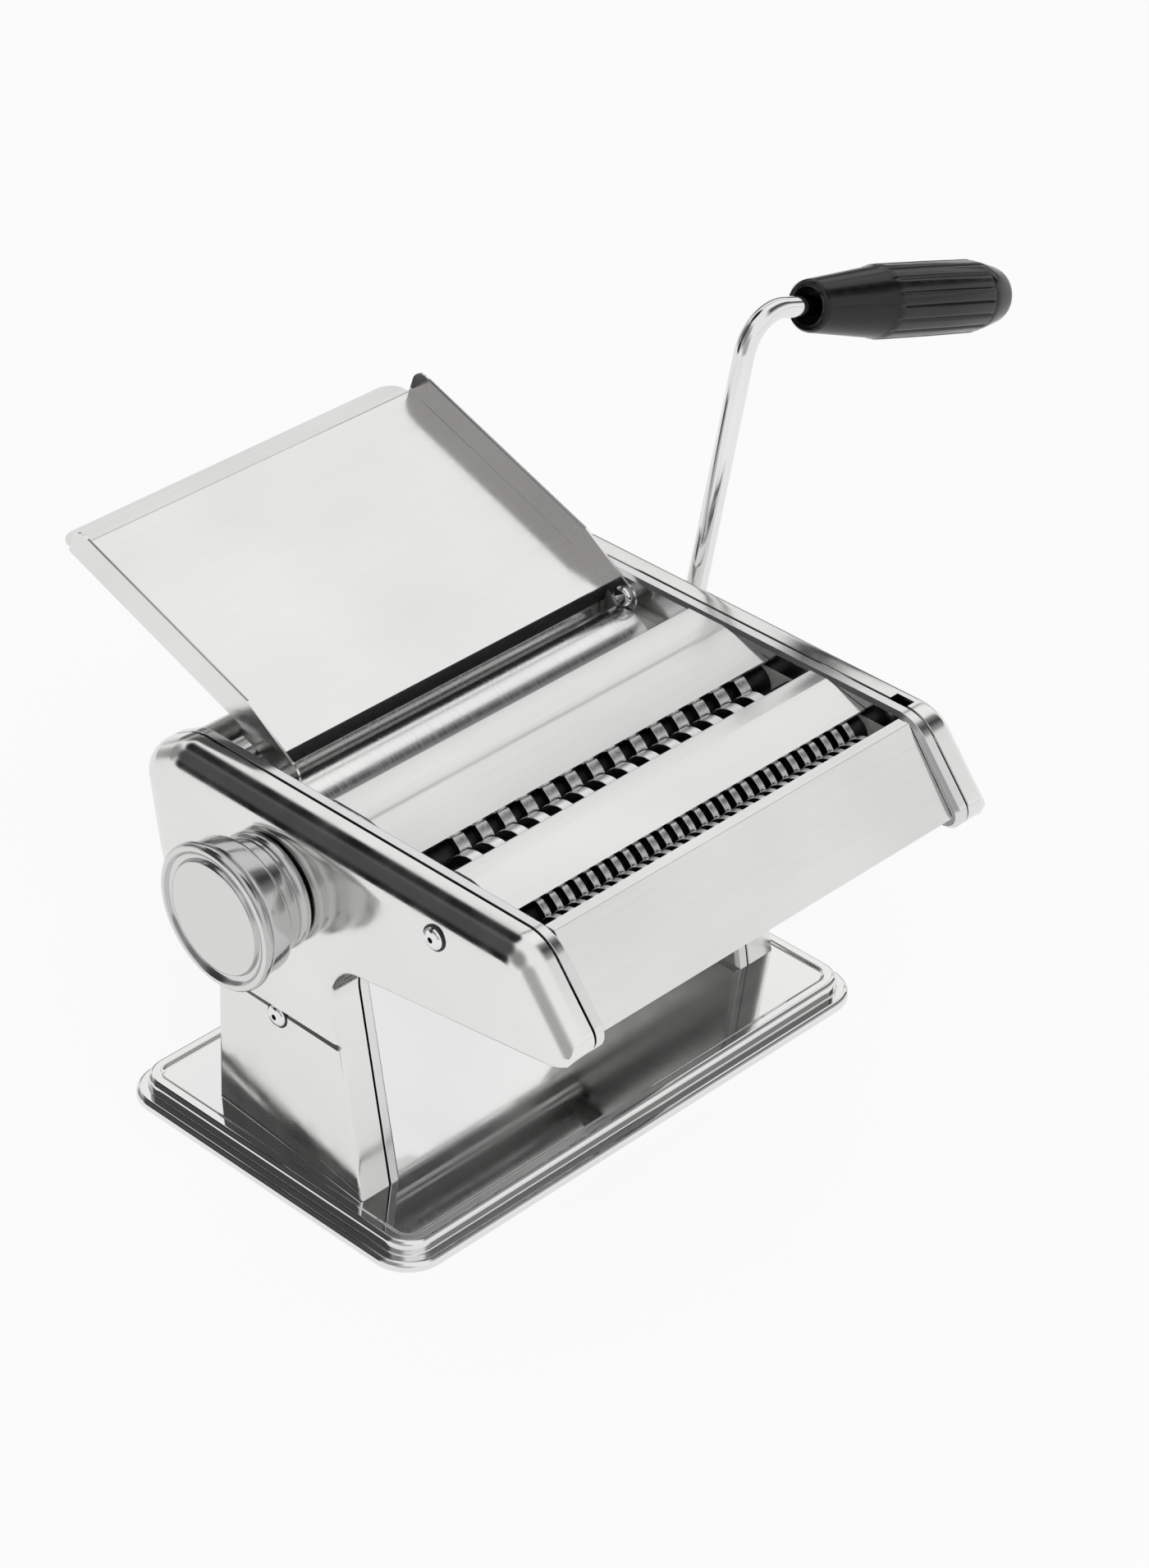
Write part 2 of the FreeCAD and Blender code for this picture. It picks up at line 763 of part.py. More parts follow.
def gear(y, z, pitch_r, tip, root, thinning, turn):
    """A spur gear with straight-sided teeth, thinned to run with backlash."""
    tip_r = pitch_r + tip
    root_r = pitch_r - root
    base_r = pitch_r * math.cos(math.radians(gear_pressure))
    half = math.pi / (2 * gear_teeth) - thinning / (2 * pitch_r)

    def involute(r):
        spread = math.acos(min(1.0, base_r / r))
        return math.tan(spread) - spread

    def half_angle(r):
        return half + involute(pitch_r) - involute(r)

    points = []
    for i in range(gear_teeth):
        middle = math.radians(turn) + 2 * math.pi * i / gear_teeth
        for r, way in ((root_r, -1), (tip_r, -1), (tip_r, 1), (root_r, 1)):
            angle = middle + way * half_angle(r)
            points.append((y + r * math.cos(angle), z + r * math.sin(angle)))
    return sharp_prism(points, gear_x, gear_out)


def roller_gear(y, turn):
    return gear(y, roller_z, roller_r, gear_tip, gear_root, gear_thinning, turn)


def cutter_gear(y, turn):
    return gear(y, cutter_z, cutter_spacing / 2, cutter_tip, cutter_root, cutter_thinning, turn)


# Crank and grip

def crank_corner():
    lean = math.radians(crank_lean)
    return V(crank_x + crank_arm * math.sin(lean), drive_y, roller_z + crank_arm * math.cos(lean))


def grip_axis():
    droop = math.radians(grip_droop)
    return V(math.cos(droop), 0, -math.sin(droop))


def crank_rod():
    """A bent round rod, with a collar on its end that keeps the grip on."""
    start = V(shaft_end - socket_depth + end_play, drive_y, roller_z)
    end = crank_corner() + grip_axis() * (grip_start + grip_cone + grip_body)
    path = [start, V(crank_x, drive_y, roller_z), crank_corner(), end]
    spine = Part.Wire(rounded_edges(path, [0, crank_elbow_r, crank_bend_r, 0], False))
    ring = Part.Wire(Part.makeCircle(rod_r, start, X_DIR))
    rod = spine.makePipeShell([ring], True, False)
    collar = on_grip(rod_x(0, 0, retainer_r, end_play, end_play + retainer_t), grip_cone + grip_body)
    stud = on_grip(rod_x(0, 0, rod_r, -retainer_t, end_play), grip_cone + grip_body)
    return join([rod, stud, collar])


def on_grip(shape, along):
    """Puts a piece that was made along +X on the grip's axis."""
    shape.rotate(V(0, 0, 0), V(0, 1, 0), grip_droop)
    shape.translate(crank_corner() + grip_axis() * (grip_start + along))
    return shape


def faceted(rings):
    """A body with flat sides through rings of matching points, closed at both ends."""
    faces = [Part.Face(Part.makePolygon(ring + ring[:1])) for ring in (rings[0], rings[-1])]
    for near, far in zip(rings, rings[1:]):
        for i in range(len(near)):
            before = i - 1
            faces.append(Part.Face(Part.makePolygon([near[before], near[i], far[i], far[before], near[before]])))
    body = Part.makeSolid(Part.makeShell(faces))
    if body.Volume < 0:
        body.reverse()
    return body


def fluted_ring(x, r):
    """The grip's section: flats between narrow grooves, all in proportion to its radius."""
    side = flute_width / 2 / grip_r
    low = r * (1 - flute_depth / grip_r)
    points = []
    for i in range(grip_flutes):
        middle = 2 * math.pi * i / grip_flutes
        for radius, angle in ((r, middle - side), (low, middle), (r, middle + side)):
            points.append(V(x, radius * math.cos(angle), radius * math.sin(angle)))
    return points


def grip():
    length = grip_cone + grip_body
    body = faceted([fluted_ring(0, grip_mouth_r), fluted_ring(grip_cone, grip_r), fluted_ring(length, grip_r)])
    mouth = rod_x(0, 0, grip_mouth_bore, 0, grip_mouth)
    bore = rod_x(0, 0, rod_r + hole_clear, 0, length)
    return on_grip(body.cut(mouth).cut(bore), 0)


def grip_end_cap():
    """The plug in the grip's end: a short collar and a chamfered, many-sided end."""
    rim = grip_r - flute_depth

    def section(x, r):
        points = []
        for i in range(grip_flutes):
            angle = 2 * math.pi * i / grip_flutes
            points.append(V(x, r * math.cos(angle), r * math.sin(angle)))
        return points

    cap = faceted([section(0, rim), section(cap_collar, rim), section(grip_cap, cap_end_r)])
    room = rod_x(0, 0, retainer_r + slide_clear, 0, retainer_t + 3 * end_play)
    return on_grip(cap.cut(room), grip_cone + grip_body)


# Sheets of the head

def top_sheet(back_y, fold_y):
    """A flat top sheet whose front edge folds down into a hollow curved deflector."""
    start = math.radians(deflector_start)
    centre = (fold_y - deflector_r * math.cos(start), sheet_top - deflector_r * math.sin(start))
    outer = deflector_r + sheet_t
    under = sheet_top - sheet_t
    bend = math.asin((under - centre[1]) / outer)

    def on_arc(r, angle):
        return V(0, centre[0] + r * math.cos(angle), centre[1] + r * math.sin(angle))

    lip_y = back_y + lip_run
    lip_z = sheet_top - lip_drop
    flat = [V(0, fold_y, sheet_top), V(0, back_y, sheet_top), V(0, lip_y, lip_z),
            V(0, lip_y - sheet_t, lip_z), V(0, back_y - sheet_t / 2, under), on_arc(outer, bend)]
    edges = []
    for i in range(len(flat) - 1):
        edges.append(Part.LineSegment(flat[i], flat[i + 1]).toShape())
    edges.append(Part.Arc(flat[-1], on_arc(outer, bend / 2), on_arc(outer, 0)).toShape())
    edges.append(Part.LineSegment(on_arc(outer, 0), on_arc(deflector_r, 0)).toShape())
    edges.append(Part.Arc(on_arc(deflector_r, 0), on_arc(deflector_r, start / 2), flat[0]).toShape())
    half = inner_half - side_gap
    sheet = Part.Face(Part.Wire(edges)).extrude(V(2 * half, 0, 0))
    sheet.translate(V(-half, 0, 0))
    return sheet


def front_panel():
    """The sloping front sheet, with a flange folded in along its top and bottom."""
    slope = math.atan2(panel_top_y - panel_low_y, panel_top_z - panel_low_z)
    shift = sheet_t / math.cos(slope)
    turn = sheet_t * math.tan(slope)
    points = [
        (panel_top_y + panel_flange, panel_top_z), (panel_top_y, panel_top_z),
        (panel_low_y, panel_low_z), (panel_low_y + panel_flange, panel_low_z),
        (panel_low_y + panel_flange, panel_low_z + sheet_t),
        (panel_low_y + shift + turn, panel_low_z + sheet_t),
        (panel_top_y + shift - turn, panel_top_z - sheet_t),
        (panel_top_y + panel_flange, panel_top_z - sheet_t)]
    half = inner_half - side_gap
    return sharp_prism(points, -half, half)


def rear_panel():
    """The sheet behind the rear roller, along the back of the side plates."""
    outline = head_outline()[0]
    sides = len(outline)
    outside = inset(outline, [0] * (sides - 3) + [back_inset] * 3)
    inside = inset(outline, [0] * (sides - 3) + [back_inset + sheet_t] * 3)

    def below(path):
        (y0, z0), (y1, z1) = path[7], path[6]
        share = back_reach / math.hypot(y1 - y0, z1 - z0)
        return (y0 + (y1 - y0) * share, z0 + (z1 - z0) * share)

    points = [outside[8], outside[7], below(outside), below(inside), inside[7], inside[8]]
    half = inner_half - side_gap
    return sharp_prism(points, -half, half)


# Feed tray

def tray_point(along, up):
    return tray_origin + tray_dir * along + tray_up * up


def pivot_place():
    place = tray_point(-pivot_ahead, -pivot_drop)
    return place.y, place.z


def stop_place():
    place = tray_point(stop_along, -heel_drop - stop_r - ear_clear)
    return place.y, place.z


def tray_pins():
    """Pivot pins for the tray's ears, and stop pins that its heels rest on."""
    pins = []
    for side in (-1, 1):
        y, z = pivot_place()
        pins.append(rod_side(side, y, z, pivot_r, inner_half - pin_reach, inner_half))
        y, z = stop_place()
        pins.append(rod_side(side, y, z, stop_r, inner_half - pin_reach, inner_half))
    return Part.makeCompound(pins)


def tray_plate(points, radii, x0, x1):
    flat = [tray_point(along, up) for along, up in points]
    return prism_x([(p.y, p.z) for p in flat], radii, x0, x1)


def tray_side(side):
    """A side wall of the tray, with an ear on the pivot pin and a heel on the stop pin."""
    near, far = sorted((side * tray_half, side * (tray_half + sheet_t)))
    wall = tray_plate([
        (ear_root, -sheet_t), (tray_length, -sheet_t), (tray_length, tray_wall), (ear_root, tray_wall)],
        [0, 0, tray_corner_r, 0], near, far)
    ear = tray_plate([
        (-pivot_ahead, ear_r - pivot_drop), (ear_root, tray_wall), (ear_root, -heel_drop),
        (0, -heel_drop), (-pivot_ahead, -ear_r - pivot_drop)], [0] * 5, near, far)
    y, z = pivot_place()
    tip = rod_x(y, z, ear_r, near, far)
    return join([wall, ear, tip]).cut(rod_x(y, z, pivot_r + ear_clear, near, far))


def feed_tray():
    sheet = tray_plate([(0, -sheet_t), (tray_length, -sheet_t), (tray_length, 0), (0, 0)], [0] * 4,
                       -tray_half, tray_half)
    fold = tray_point(tray_length, 0)
    lip_half = tray_half - tray_lip_inset
    plan = [V(-lip_half, fold.y - sheet_t, fold.z), V(lip_half, fold.y - sheet_t, fold.z),
            V(lip_half, fold.y + tray_lip, fold.z), V(-lip_half, fold.y + tray_lip, fold.z)]
    lip = Part.Face(Part.Wire(rounded_edges(plan, [0, 0, tray_lip_r, tray_lip_r], True)))
    return join([sheet, tray_side(-1), tray_side(1), lip.extrude(V(0, 0, -sheet_t))])


def main():
    os.makedirs("parts", exist_ok=True)
    nodes = {
        "base_shell": base_shell(),
        "rubber_feet": rubber_feet(),
        "left_side_plate": side_plate(-1),
        "right_side_plate": side_plate(1),
        "left_cover": cover(-1),
        "right_cover": cover(1),
        "cover_posts": cover_posts(),
        "tie_rods": spacers(),
        "rear_top_sheet": top_sheet(rear_sheet_back, rear_sheet_fold),
        "middle_top_sheet": top_sheet(mid_sheet_back, mid_sheet_fold),
        "front_panel": front_panel(),
        "rear_panel": rear_panel(),
        "drive_roller": drive_roller(),
        "drive_bushes": drive_bushes(),
        "front_scraper": front_scraper(),
        "rear_roller": rear_roller(),
        "rear_bushes": rear_bushes(),
        "rear_scraper": rear_scraper(),
        "left_carriage": carriage_plate(-1),
        "right_carriage": carriage_plate(1),
        "carriage_bar": carriage_bar(),
        "regulator_spindle": spindle(),
        "gap_cam": gap_cam(),
        "index_ring": index_ring(),
        "regulator_knob": knob(),
        "knob_spring": knob_spring(),
        "wide_cutter_front": driven_cutter(wide_front_y, wide_pitch, wide_sides),
        "wide_cutter_rear": paired_cutter(wide_rear_y, wide_pitch, wide_sides),
        "wide_bearing_blocks": bearing_blocks(wide_front_y),
        "wide_combs": combs(wide_front_y, wide_pitch),
        "fine_cutter_front": driven_cutter(fine_front_y, fine_pitch, fine_sides),
        "fine_cutter_rear": paired_cutter(fine_rear_y, fine_pitch, fine_sides),
        "fine_bearing_blocks": bearing_blocks(fine_front_y),
        "fine_combs": combs(fine_front_y, fine_pitch),
        "crank_rod": crank_rod(),
        "grip": grip(),
        "grip_end_cap": grip_end_cap(),
        "tray_pins": tray_pins(),
        "feed_tray": feed_tray(),
    }
    for name, shape in nodes.items():
        shape.exportStep("parts/%s.step" % name)


main()
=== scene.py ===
import json
import math

import bmesh
import bpy
from mathutils import Matrix, Vector


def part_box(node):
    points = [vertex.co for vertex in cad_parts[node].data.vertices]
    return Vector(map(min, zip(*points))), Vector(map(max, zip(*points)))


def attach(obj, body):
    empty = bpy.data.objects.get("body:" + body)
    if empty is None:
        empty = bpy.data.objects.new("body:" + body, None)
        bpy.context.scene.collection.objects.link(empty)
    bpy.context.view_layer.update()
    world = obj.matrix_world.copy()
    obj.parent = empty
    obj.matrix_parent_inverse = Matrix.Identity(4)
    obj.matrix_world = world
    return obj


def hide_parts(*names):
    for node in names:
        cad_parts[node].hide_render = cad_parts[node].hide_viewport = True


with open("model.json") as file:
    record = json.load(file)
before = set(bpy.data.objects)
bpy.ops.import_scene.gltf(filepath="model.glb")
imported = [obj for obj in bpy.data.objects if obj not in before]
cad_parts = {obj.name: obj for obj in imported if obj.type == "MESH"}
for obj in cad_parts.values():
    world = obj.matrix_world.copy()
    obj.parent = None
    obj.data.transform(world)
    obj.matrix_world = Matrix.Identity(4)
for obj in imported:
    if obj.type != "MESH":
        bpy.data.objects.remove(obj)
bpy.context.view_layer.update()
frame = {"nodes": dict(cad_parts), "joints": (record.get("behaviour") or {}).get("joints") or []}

nodes = frame["nodes"]
MM = 0.001

# Camera, from the photograph: its place in metres and the direction it looks in
CAMERA_PLACE = Vector((-0.7891, -0.8220, 0.8690))
CAMERA_AIM = Vector((0.588, 0.586, -0.558))
LENS_MM = 99.9
SENSOR_MM = 36.0

# Sides of the machine: which way each faces along X
OUTWARD = {"left": -1, "right": 1}

# Sizes of the pieces are in millimetres. Turned pieces: the small faces that close an end and a bore
END_R = 0.4
BORE_END_R = 0.3

# Cutters
CUTTERS = {
    "wide": {"pitch": 9.4, "nodes": ("wide_cutter_front", "wide_cutter_rear")},
    "fine": {"pitch": 5.1, "nodes": ("fine_cutter_front", "fine_cutter_rear")},
}
CUTTER_STEPS = 48
DISC_R = 9.25
DISC_CLEAR = 0.2
DISC_EDGE = 0.15
DISC_SPAN = 142.0
CORE_R = 6.2
CUTTER_SHOULDER = 76.5
JOURNAL_R = 5.0
JOURNAL_EDGE = 0.4
SOCKET_R = 3.55
SOCKET_DEPTH = 22.0
GEAR_WIDTH = 5.5
GEAR_TAIL = 2.5
GEAR_TIP_R = 9.25
GEAR_ROOT_R = 6.4
GEAR_TEETH = 12
# One tooth: radius, and place as a share of the pitch
TOOTH = ((GEAR_ROOT_R, -0.3), (GEAR_TIP_R, -0.12), (GEAR_TIP_R, 0.12), (GEAR_ROOT_R, 0.3))

# Knob: how far its neck and barrel lie inside the rim, and its hollow back
KNOB_STEPS = 96
KNOB_NECK_IN = 5.5
KNOB_BARREL_IN = 1.9
KNOB_FRONT = 4.4         # solid front, where the bore ends
KNOB_BORE_R = 4.05
KNOB_CAVITY_R = 14.0
KNOB_CAVITY_DEPTH = 13.0
KNOB_FACE_DEPTH = 2.0

# Grip, along its axis from the mouth
GRIP_LENGTH = 100.0
GRIP_CONE = 35.0
GRIP_BODY_R = 12.5
GRIP_MOUTH_R = 8.6
GRIP_BORE_R = 5.4
GRIP_BORE_END = 90.0
ROD_HOLE_R = 3.7
ROD_HOLE_START = 6.0
ROD_HOLE_END = 8.0
GRIP_FLUTES = 16
FLUTE_STEPS = 12
FLUTE_DEPTH = 0.75
FLUTE_WIDTH = 0.09       # as a share of the flutes' pitch

# Cover screws: place (Y, Z), and whether it is on the leg, whose face falls away
SCREWS = {"left": (((-72.0, 128.5), False), ((2.7, 59.5), True)),
          "right": (((-69.5, 110.0), False), ((2.7, 59.5), True))}
SCREW_STEPS = 40
SCREW_R = 3.7
SCREW_RECESS_R = 0.95
LEG_FALL_AT_SCREW = 2.7

# Cover's outline: corner (Y, Z), its radius, and whether the side after it has the large round or bevel
OUTLINE = [
    ((46.0, 140.0), 16.0, True), ((-105.8, 140.0), 14.0, True), ((-131.0, 108.4), 6.0, False),
    ((-22.5, 94.0), 15.0, False), ((-36.0, 8.7), 0.0, False), ((36.0, 8.7), 0.0, False),
    ((33.0, 60.0), 25.0, False), ((60.0, 109.0), 10.0, True), ((63.0, 130.5), 12.0, True)]
INNER_CORNERS = (3, 6)   # where the outline turns inwards, by place in the list
COVER_DEPTH = 12.0
COVER_WALL = 1.2
COVER_RETURN = 4 * COVER_WALL
SEAM_EDGE = 0.25
COVER_ROUND = 10.2
ROUND_DEGREES = (0, 12, 24, 36, 48, 58, 67, 74, 80, 85, 90)
# The right cover keeps a flat bevel, to leave room for the crank's holes: depth and inset of its sections
EASED_BEVEL = ((5.0, 0.0), (5.6, 0.07), (6.2, 0.3), (6.8, 0.8),
               (11.2, 5.2), (11.6, 5.65), (11.85, 6.05), (12.0, 6.5))
COVER_EDGE = 1.2
LEAST_CORNER = 2.5
ARC_STEPS = 18
LEG_FRONT = -36.0
LEG_BACK = 36.0
LEG_FALL = 5.0
STEP_Z = 65.0
STEP_HEIGHT = 0.6
# A pressed line across the leg, below the step
LINE_DROP = 1.0
LINE_SLOPE = 0.066
LINE_DEPTH = 0.9
LINE_HEIGHT = 1.1
LINE_NEAR = 0.01         # how near to the line a point counts as on it
# Holes in the covers: centre (Y, Z) and radius
COVER_HOLES = {"left": (((-0.5, 111.0), 4.3),),
               "right": (((12.0, 119.0), 7.0), ((-57.0, 126.0), 7.0), ((-98.0, 126.0), 7.0))}
HOLE_STEPS = 40
NOTCH_Y = (-98.8, -91.8)
NOTCH_WIDTH = 3.5

# Top sheets: where each folds, and where its slope ends over the rear cutter
SHEET_T = 0.8
SHEETS = {"rear_top_sheet": {"fold_y": -25.5, "end": (-45.5, 135.8)},
          "middle_top_sheet": {"fold_y": -70.0, "end": (-86.3, 135.8)}}
SLOPE_SAG = 0.1
SLOPE_STEPS = 12
LIP_RUN = 2.5
LIP_DROP = 3.2

# Tray: front edge and pivot (Y, Z), slope in degrees, hem, rims along its walls, and rivets
TRAY_EDGE = (20.0, 138.3)
TRAY_PIVOT = (14.49, 135.02)
TRAY_ANGLE = 20.0
TRAY_HALF = 72.4
HEM_DROP = 7.6
HEM_BULGE = 0.25
HEM_STEPS = 4
RIM_R = 0.5
RIM_RUN = (16.0, 94.0)
RIM_HEIGHTS = (-0.3, 9.7)
RIM_STEPS = 16
RIVET_R = 3.6
RIVET_STEPS = 36
PIN_HOLE_R = 2.65
PIN_HOLE_DEPTH = 1.0

# Node helpers for the materials: the noise's middle range, and heights in metres
NOISE_LOW = 0.3
NOISE_HIGH = 0.7
CLOUD_SCALE = 14.0
CLOUD_DETAIL = 2.0
GRAIN_HEIGHT = 0.00004
MOULD_HEIGHT = 0.0001
EVEN = (1, 1, 1)


def new_material(name):
    mat = bpy.data.materials.new(name)
    mat.use_nodes = True
    tree = mat.node_tree
    return mat, tree, tree.nodes["Principled BSDF"]


def add(tree, kind, **settings):
    node = tree.nodes.new(kind)
    for key, value in settings.items():
        setattr(node, key, value)
    return node


def stretched_noise(tree, scale, stretch, detail=4.0):
    """Noise in the object's own frame, drawn out along the axes with a small stretch."""
    coords = add(tree, "ShaderNodeTexCoord")
    mapping = add(tree, "ShaderNodeMapping")
    mapping.inputs["Scale"].default_value = stretch
    noise = add(tree, "ShaderNodeTexNoise")
    noise.inputs["Scale"].default_value = scale
    noise.inputs["Detail"].default_value = detail
    tree.links.new(coords.outputs["Object"], mapping.inputs["Vector"])
    tree.links.new(mapping.outputs["Vector"], noise.inputs["Vector"])
    return noise.outputs["Fac"]


def ranged(tree, value, low, high):
    node = add(tree, "ShaderNodeMapRange")
    node.inputs["From Min"].default_value = NOISE_LOW
    node.inputs["From Max"].default_value = NOISE_HIGH
    node.inputs["To Min"].default_value = low
    node.inputs["To Max"].default_value = high
    tree.links.new(value, node.inputs["Value"])
    return node.outputs["Result"]


def tinted(tree, value, dark, light):
    ramp = add(tree, "ShaderNodeValToRGB")
    ramp.color_ramp.elements[0].position = NOISE_LOW
    ramp.color_ramp.elements[0].color = (*dark, 1)
    ramp.color_ramp.elements[1].position = NOISE_HIGH
    ramp.color_ramp.elements[1].color = (*light, 1)
    tree.links.new(value, ramp.inputs["Fac"])
    return ramp.outputs["Color"]


def bumped(tree, value, strength, distance):
    bump = add(tree, "ShaderNodeBump")
    bump.inputs["Strength"].default_value = strength
    bump.inputs["Distance"].default_value = distance
    tree.links.new(value, bump.inputs["Height"])
    return bump.outputs["Normal"]


def metal(name, dark, light, rough, grain_scale, grain, bump=0.0):
    """Metal with a grain: roughness and surface vary along the grain, colour in soft clouds."""
    mat, tree, shader = new_material(name)
    noise = stretched_noise(tree, grain_scale, grain)
    cloud = stretched_noise(tree, CLOUD_SCALE, EVEN, CLOUD_DETAIL)
    shader.inputs["Metallic"].default_value = 1.0
    tree.links.new(tinted(tree, cloud, dark, light), shader.inputs["Base Color"])
    tree.links.new(ranged(tree, noise, rough[0], rough[1]), shader.inputs["Roughness"])
    if bump:
        tree.links.new(bumped(tree, noise, bump, GRAIN_HEIGHT), shader.inputs["Normal"])
    return mat


def plastic(name, dark, light, rough, scale, bump, specular=0.5):
    mat, tree, shader = new_material(name)
    noise = stretched_noise(tree, scale, EVEN)
    tree.links.new(tinted(tree, noise, dark, light), shader.inputs["Base Color"])
    tree.links.new(ranged(tree, noise, rough[0], rough[1]), shader.inputs["Roughness"])
    tree.links.new(bumped(tree, noise, bump, MOULD_HEIGHT), shader.inputs["Normal"])
    shader.inputs["Specular IOR Level"].default_value = specular
    return mat


# Each look: dark and light colour, range of roughness, scale of the grain, its stretch in metals, and bump
MATERIALS = {
    "cheek": metal("polished_steel", (0.80, 0.80, 0.79), (0.86, 0.855, 0.84), (0.10, 0.20), 90.0, EVEN),
    "plate": metal("bright_plate", (0.74, 0.74, 0.74), (0.82, 0.82, 0.81), (0.14, 0.22), 90.0, EVEN),
    "mirror": metal("mirror_steel", (0.82, 0.82, 0.82), (0.87, 0.87, 0.86), (0.03, 0.09), 40.0, EVEN),
    "sheet": metal("brushed_sheet", (0.78, 0.775, 0.77), (0.85, 0.845, 0.835), (0.16, 0.22), 700.0,
                   (0.03, 1, 1), 0.03),
    "roller": metal("ground_roller", (0.80, 0.80, 0.80), (0.87, 0.87, 0.86), (0.16, 0.28), 1200.0,
                    (1, 0.05, 0.05), 0.1),
    "cutter": metal("cutter_steel", (0.84, 0.84, 0.84), (0.93, 0.93, 0.92), (0.22, 0.36), 700.0, EVEN, 0.1),
    # Near-black steel as painted shade: the cutters' gaps, the screws' recesses and the shadow under the
    # tray's front edge
    "groove": metal("painted_shade_steel", (0.03, 0.03, 0.03), (0.07, 0.07, 0.07), (0.35, 0.5), 500.0, EVEN, 0.1),
    # Interior steel, its own grey darkened as painted shade so the gaps between the covers and the tray read
    # dark
    "inner": metal("inner_steel", (0.40, 0.40, 0.40), (0.50, 0.50, 0.49), (0.3, 0.45), 300.0, EVEN, 0.1),
    "chrome": metal("crank_chrome", (0.82, 0.82, 0.82), (0.88, 0.88, 0.88), (0.05, 0.12), 60.0, EVEN),
    # The knob's one aluminium in two tones: painted light on its flat face, painted shade on the barrel and
    # neck
    "knob_face": metal("knob_face_lit_tone", (0.70, 0.697, 0.69), (0.76, 0.757, 0.75), (0.14, 0.24), 1400.0,
                       EVEN, 0.04),
    "knob": metal("satin_aluminium", (0.50, 0.50, 0.50), (0.57, 0.57, 0.565), (0.11, 0.20), 1400.0,
                  (1, 0.04, 0.04), 0.06),
    "grip": plastic("black_plastic", (0.003, 0.003, 0.003), (0.008, 0.008, 0.008), (0.13, 0.24), 220.0,
                    0.03, 0.36),
    "rubber": plastic("black_rubber", (0.015, 0.015, 0.015), (0.035, 0.035, 0.035), (0.6, 0.8), 500.0, 0.2),
    "nylon": plastic("pale_nylon", (0.42, 0.415, 0.40), (0.50, 0.495, 0.48), (0.35, 0.5), 300.0, 0.08),
}
NODE_LOOKS = {
    "cheek": ("left_cover", "right_cover"),
    "plate": ("left_side_plate", "right_side_plate"),
    "mirror": ("base_shell",),
    "sheet": ("rear_top_sheet", "middle_top_sheet", "front_panel", "rear_panel", "feed_tray"),
    "roller": ("drive_roller", "rear_roller"),
    "cutter": CUTTERS["wide"]["nodes"] + CUTTERS["fine"]["nodes"],
    "inner": ("cover_posts", "tie_rods", "front_scraper", "rear_scraper", "left_carriage", "right_carriage",
              "carriage_bar", "regulator_spindle", "gap_cam", "index_ring", "knob_spring", "wide_combs",
              "fine_combs", "tray_pins"),
    "chrome": ("crank_rod",),
    "knob": ("regulator_knob",),
    "grip": ("grip", "grip_end_cap"),
    "rubber": ("rubber_feet",),
    "nylon": ("drive_bushes", "rear_bushes", "wide_bearing_blocks", "fine_bearing_blocks"),
}


def dress(obj, look):
    obj.data.materials.clear()
    obj.data.materials.append(MATERIALS[look])


# CAD nodes keep their shape: modifiers join their triangles, round their edges and smooth them
WELD_M = 2e-6
FLAT_DEGREES = 0.4
EDGE_DEGREES = 28
EDGE_SEGMENTS = 3
PLAIN_EDGE = 0.15
EDGES = {"left_cover": 0.8, "right_cover": 0.8, "left_side_plate": 0.35, "right_side_plate": 0.35,
         "base_shell": 0.5}


def soften(obj, edge):
    mesh = obj.data
    if "custom_normal" in mesh.attributes:
        mesh.attributes.remove(mesh.attributes["custom_normal"])
    mesh.polygons.foreach_set("use_smooth", [True] * len(mesh.polygons))
    weld = obj.modifiers.new("weld", "WELD")
    weld.merge_threshold = WELD_M
    flat = obj.modifiers.new("flat_faces", "DECIMATE")
    flat.decimate_type = "DISSOLVE"
    flat.angle_limit = math.radians(FLAT_DEGREES)
    bevel = obj.modifiers.new("edges", "BEVEL")
    bevel.limit_method = "ANGLE"
    bevel.angle_limit = math.radians(EDGE_DEGREES)
    bevel.width = edge * MM
    bevel.segments = EDGE_SEGMENTS
    obj.modifiers.new("even_normals", "WEIGHTED_NORMAL").keep_sharp = True


def dress_nodes():
    for look, names in NODE_LOOKS.items():
        for name in names:
            dress(nodes[name], look)
            soften(nodes[name], EDGES.get(name, PLAIN_EDGE))


# Helpers for the pieces that are drawn here
MERGE_M = 1e-7
FLAT_NORMAL = 0.9        # how squarely a flat face looks along X


def finished(bm, name, angle=30):
    """The mesh, smooth but for edges sharper than the angle in degrees."""
    bmesh.ops.remove_doubles(bm, verts=bm.verts, dist=MERGE_M)
    bmesh.ops.recalc_face_normals(bm, faces=bm.faces)
    mesh = bpy.data.meshes.new(name)
    bm.to_mesh(mesh)
    bm.free()
    mesh.polygons.foreach_set("use_smooth", [True] * len(mesh.polygons))
    mesh.set_sharp_from_angle(angle=math.radians(angle))
    return mesh


def as_object(name, mesh, body, look, replaced=()):
    obj = bpy.data.objects.new(name, mesh)
    bpy.context.scene.collection.objects.link(obj)
    dress(obj, look)
    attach(obj, body)
    if replaced:
        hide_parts(*replaced)


def facing(outward):
    """Takes +X to the side that outward, -1 or 1, faces."""
    return Matrix(((outward, 0, 0), (0, 1, 0), (0, 0, 1)))


def mid_yz(node):
    low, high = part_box(node)
    return (low.y + high.y) / 2, (low.z + high.z) / 2


def skin(bm, rings):
    """Joins rings of points, one to the next, and closes both ends."""
    for first, second in zip(rings, rings[1:]):
        for i in range(len(first)):
            j = (i + 1) % len(first)
            bm.faces.new((first[i], second[i], second[j], first[j]))
    for ring in (rings[0], rings[-1]):
        bm.faces.new(ring)


